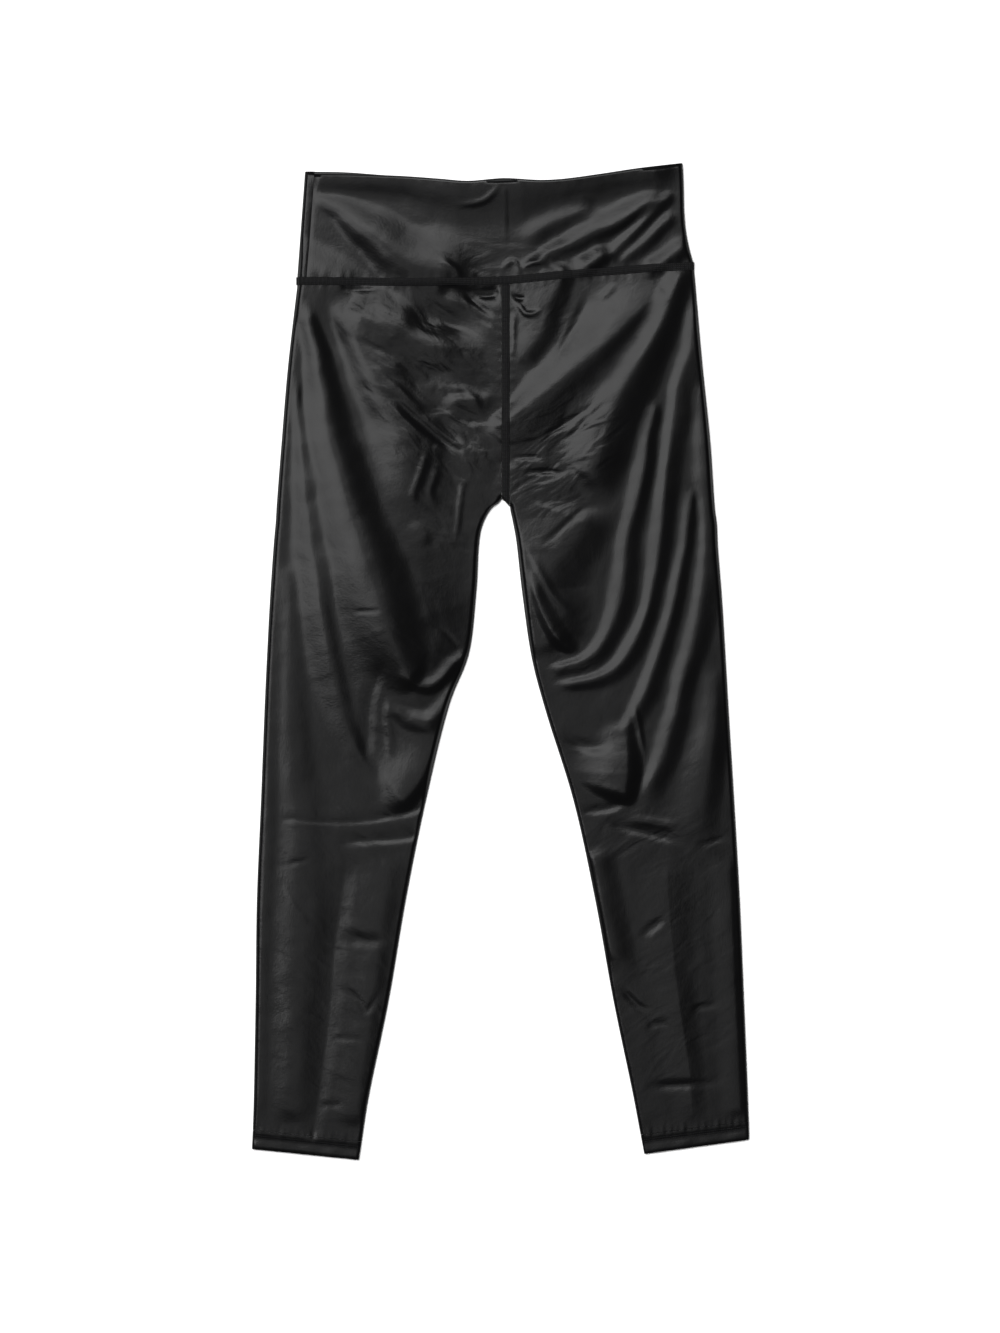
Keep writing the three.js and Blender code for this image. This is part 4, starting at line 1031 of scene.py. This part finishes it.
def floor_paint():
    """Matt white paint on board: it gives back soft shadows and no glare."""
    cloud_size = 400.0
    material, tree, shader, place = new_material(
        "matt white studio floor", Roughness=0.9, Specular_IOR_Level=0.1,
    )
    cloud = add_node(tree, "ShaderNodeTexNoise", [(place, "Vector")], Scale=scale_of(cloud_size), Detail=1.0)
    finish(tree, shader, cloud.outputs["Fac"], "#f9f9f9", "#fcfcfc")
    return material


def stitch_tree(material):
    """Geometry nodes: one stitch on every step along the given lines."""
    tree = bpy.data.node_groups.new("stitch line", "GeometryNodeTree")
    sockets = {}
    for way in ("OUTPUT", "INPUT"):
        tree.interface.new_socket("Geometry", in_out=way, socket_type="NodeSocketGeometry")
    for name, kind, value in (
        ("Pitch", "Float", STITCH_PITCH), ("Stitch length", "Float", STITCH_LENGTH),
        ("Thread", "Float", THREAD), ("Slant", "Float", STITCH_SLANT), ("Seed", "Int", STITCH_SEED),
    ):
        socket = tree.interface.new_socket(name, in_out="INPUT", socket_type=f"NodeSocket{kind}")
        sockets[name] = (socket.identifier, value)
    given = add_node(tree, "NodeGroupInput")
    result = add_node(tree, "NodeGroupOutput")
    in_metres = []
    for name in ("Pitch", "Stitch length", "Thread"):
        times = add_node(tree, "ShaderNodeMath", [(given.outputs[name], 0)], {"operation": "MULTIPLY"})
        times.inputs[1].default_value = MM
        in_metres.append(times.outputs[0])
    pitch, length, thread = in_metres
    curve = add_node(tree, "GeometryNodeMeshToCurve", [(given.outputs["Geometry"], "Mesh")])
    steps = add_node(
        tree, "GeometryNodeResampleCurve", [(curve.outputs["Curve"], "Curve"), (pitch, "Length")],
        {"mode": "LENGTH"} if bpy.app.version < (5, 0, 0) else {},
    )
    ball = add_node(tree, "GeometryNodeMeshIcoSphere", Radius=0.5, Subdivisions=1)
    soft = add_node(tree, "GeometryNodeSetShadeSmooth", [(ball.outputs["Mesh"], "Geometry")])
    size = add_node(tree, "ShaderNodeCombineXYZ", [(length, "X"), (thread, "Y"), (thread, "Z")])
    tangent = add_node(tree, "GeometryNodeInputTangent")
    aim = add_node(
        tree, "FunctionNodeAlignRotationToVector", [(tangent.outputs["Tangent"], "Vector")], {"axis": "X"},
    )
    jitter = add_node(
        tree, "FunctionNodeRandomValue", [(given.outputs["Seed"], "Seed")], {"data_type": "FLOAT"},
    )
    jitter.inputs[2].default_value, jitter.inputs[3].default_value = SLANT_SPREAD
    slant = add_node(
        tree, "ShaderNodeMath", [(given.outputs["Slant"], 0), (jitter.outputs[1], 1)],
        {"operation": "MULTIPLY"},
    )
    radians = add_node(tree, "ShaderNodeMath", [(slant.outputs[0], 0)], {"operation": "RADIANS"})
    twist = add_node(tree, "ShaderNodeCombineXYZ", [(radians.outputs[0], "Z")])
    turned = add_node(
        tree, "FunctionNodeRotateRotation",
        [(aim.outputs["Rotation"], "Rotation"), (twist.outputs[0], "Rotate By")], {"rotation_space": "LOCAL"},
    )
    placed = add_node(
        tree, "GeometryNodeInstanceOnPoints",
        [(steps.outputs["Curve"], "Points"), (soft.outputs["Geometry"], "Instance"),
         (turned.outputs["Rotation"], "Rotation"), (size.outputs["Vector"], "Scale")],
    )
    real = add_node(tree, "GeometryNodeRealizeInstances", [(placed.outputs["Instances"], "Geometry")])
    painted = add_node(
        tree, "GeometryNodeSetMaterial", [(real.outputs["Geometry"], "Geometry")], Material=material,
    )
    tree.links.new(painted.outputs["Geometry"], result.inputs["Geometry"])
    return tree, sockets


def stitched(name, lines, tree, sockets, slant):
    """A mesh of stitches along lines of points, in millimetres."""
    edges, start = [], 0
    for line in lines:
        edges += [(start + k, start + k + 1) for k in range(len(line) - 1)]
        start += len(line)
    mesh = bpy.data.meshes.new(name)
    mesh.from_pydata((np.vstack(lines) * MM).tolist(), edges, [])
    guide = add_object(name, mesh)
    modifier = guide.modifiers.new("stitches", "NODES")
    modifier.node_group = tree
    for identifier, value in sockets.values():
        modifier[identifier] = value
    modifier[sockets["Slant"][0]] = slant
    evaluated = guide.evaluated_get(bpy.context.evaluated_depsgraph_get())
    plain = bpy.data.meshes.new_from_object(evaluated)
    guide.modifiers.remove(modifier)
    guide.data = plain
    guide.data.name = name
    return guide


def upper_line(sheet, across):
    """The part of a seam's outer face that lies on the upper layer, as a line for stitches."""
    line = sheet(np.array([across]), 0, STITCH_STEPS)[0]
    return line[line[:, 2] > SEAM_EDGE] + np.array([0, 0, SEAM_THREAD_LIFT])


def hem_line(stations, lower, row):
    """A line for stitches across a hem's upper layer, row millimetres below the middle of its coverstitch."""
    end = stations[-1]
    down = HEM_STITCH + row
    outer, inner = (lerp(np.array(a), np.array(b), down / HEM_DEPTH) for a, b in zip(end[1:3], lower))
    share = np.linspace(*HEM_LINE_ENDS, HEM_LINE_STEPS)
    x, y = lerp(inner[0], outer[0], share), lerp(inner[1], outer[1], share)
    to_fold = np.minimum(share, 1 - share) * math.dist(outer, inner)
    lift = hem_height(x, y, down, to_fold, HEM_DEPTH - down, end)
    return np.stack([x, y, lift + HEM_THREAD_LIFT], axis=-1)


tree, sockets = stitch_tree(stitch_thread())
stitches = []
for name, sheet in (("waist_seam", waist_seam_sheet), ("rise_seam", rise_seam_sheet)):
    for k, across in enumerate(FLAT_SEAM_LINES):
        lines, slant = [upper_line(sheet, across)], STITCH_SLANT * (-1) ** k
        stitches.append(stitched(f"{name}_stitches_{k + 1}", lines, tree, sockets, slant))
for side, stations in (("right", RIGHT_LEG), ("left", LEFT_LEG)):
    lines = [hem_line(stations, HEM_TURN[side], row) for row in HEM_ROW_SHIFTS]
    stitches.append(stitched(f"hem_{side}_stitches", lines, tree, sockets, 0))

# The size that each sheet of cloth was cut to, in metres
LEG_CUT = (0.41, 0.815)
BAND_CUT = (0.37, 0.1)
HEM_CUT = (0.21, 0.018)

# Which piece stands for which solid, and for the cloth its cut and how its crumples tilt, in degrees
CLOTH_PIECES = (
    (leg_right, "leg_right", LEG_CUT, -38),
    (leg_left, "leg_left", LEG_CUT, 32),
    (band_front, "waistband_front", BAND_CUT, 8),
    (band_back, "waistband_back", BAND_CUT, 0),
    (hem_right, "hem_right", HEM_CUT, 0),
    (hem_left, "hem_left", HEM_CUT, 0),
)
SEAM_PIECES = ((waist_seam, "waist_seam"), (rise_seam, "rise_seam"))

cloth, seam = coated_cloth(), seam_cloth()
for piece, node, cut, tilt in CLOTH_PIECES:
    mark_crumples(piece, tilt)
    piece.data.materials.append(cloth)
    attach(piece, "root")
    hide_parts(node)
for piece, node in SEAM_PIECES:
    piece.data.materials.append(seam)
    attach(piece, "root")
    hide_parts(node)
for row in stitches:
    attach(row, "root")

# Studio: a pale floor, a large soft light from the upper left, one beyond the waist, weak ones overhead and
# towards the hems, and dim surroundings. Its sizes and places are in metres.
FLOOR_HALF = 12.0
FLOOR_HEIGHT = -0.1 * MM
VIEW_CENTRE = (-0.47 * MM, -4.7 * MM)
VIEW_HEIGHT = 6.0
VIEW_SPAN = 1.253  # floor from top to bottom of the picture
SENSOR = 36.0  # millimetres
LIGHT_HEIGHT = 7.5
SURROUNDINGS = 0.11
SOFTBOXES = (  # name, width and height, brightness, place over the floor
    ("key softbox", (5.0, 4.8), 11.5, (-3.05, 1.9)),
    ("rear softbox", (1.8, 2.8), 10.6, (0.35, 3.1)),
    ("overhead softbox", (1.3, 3.0), 1.9, (0.1, 0.15)),
    ("hem-side softbox", (2.6, 1.2), 1.8, (0, -1.35)),
)

for name, size, radiance, over in SOFTBOXES:
    light = bpy.data.lights.new(name, "AREA")
    light.shape = "RECTANGLE"
    light.size, light.size_y = size
    light.energy = radiance * math.pi * size[0] * size[1]
    lamp = add_object(name, light)
    lamp.location = (*over, LIGHT_HEIGHT)
    lamp.rotation_euler = Vector(lamp.location).to_track_quat("Z", "Y").to_euler()

world = bpy.data.worlds.new("dim studio")
world.use_nodes = True
sky = world.node_tree.nodes["Background"]
sky.inputs["Color"].default_value = (1, 1, 1, 1)
sky.inputs["Strength"].default_value = SURROUNDINGS
bpy.context.scene.world = world
bpy.context.scene.view_settings.view_transform = "Standard"

floor_mesh = bpy.data.meshes.new("studio_floor")
corners = [(x * FLOOR_HALF, y * FLOOR_HALF, FLOOR_HEIGHT) for x, y in ((-1, -1), (1, -1), (1, 1), (-1, 1))]
floor_mesh.from_pydata(corners, [], [(0, 1, 2, 3)])
floor_mesh.materials.append(floor_paint())
floor = add_object("studio_floor", floor_mesh)

lens = bpy.data.cameras.new("camera")
lens.sensor_width = SENSOR
lens.lens = SENSOR * VIEW_HEIGHT / VIEW_SPAN
camera = add_object("camera", lens)
camera.location = (*VIEW_CENTRE, VIEW_HEIGHT)
bpy.context.scene.camera = camera
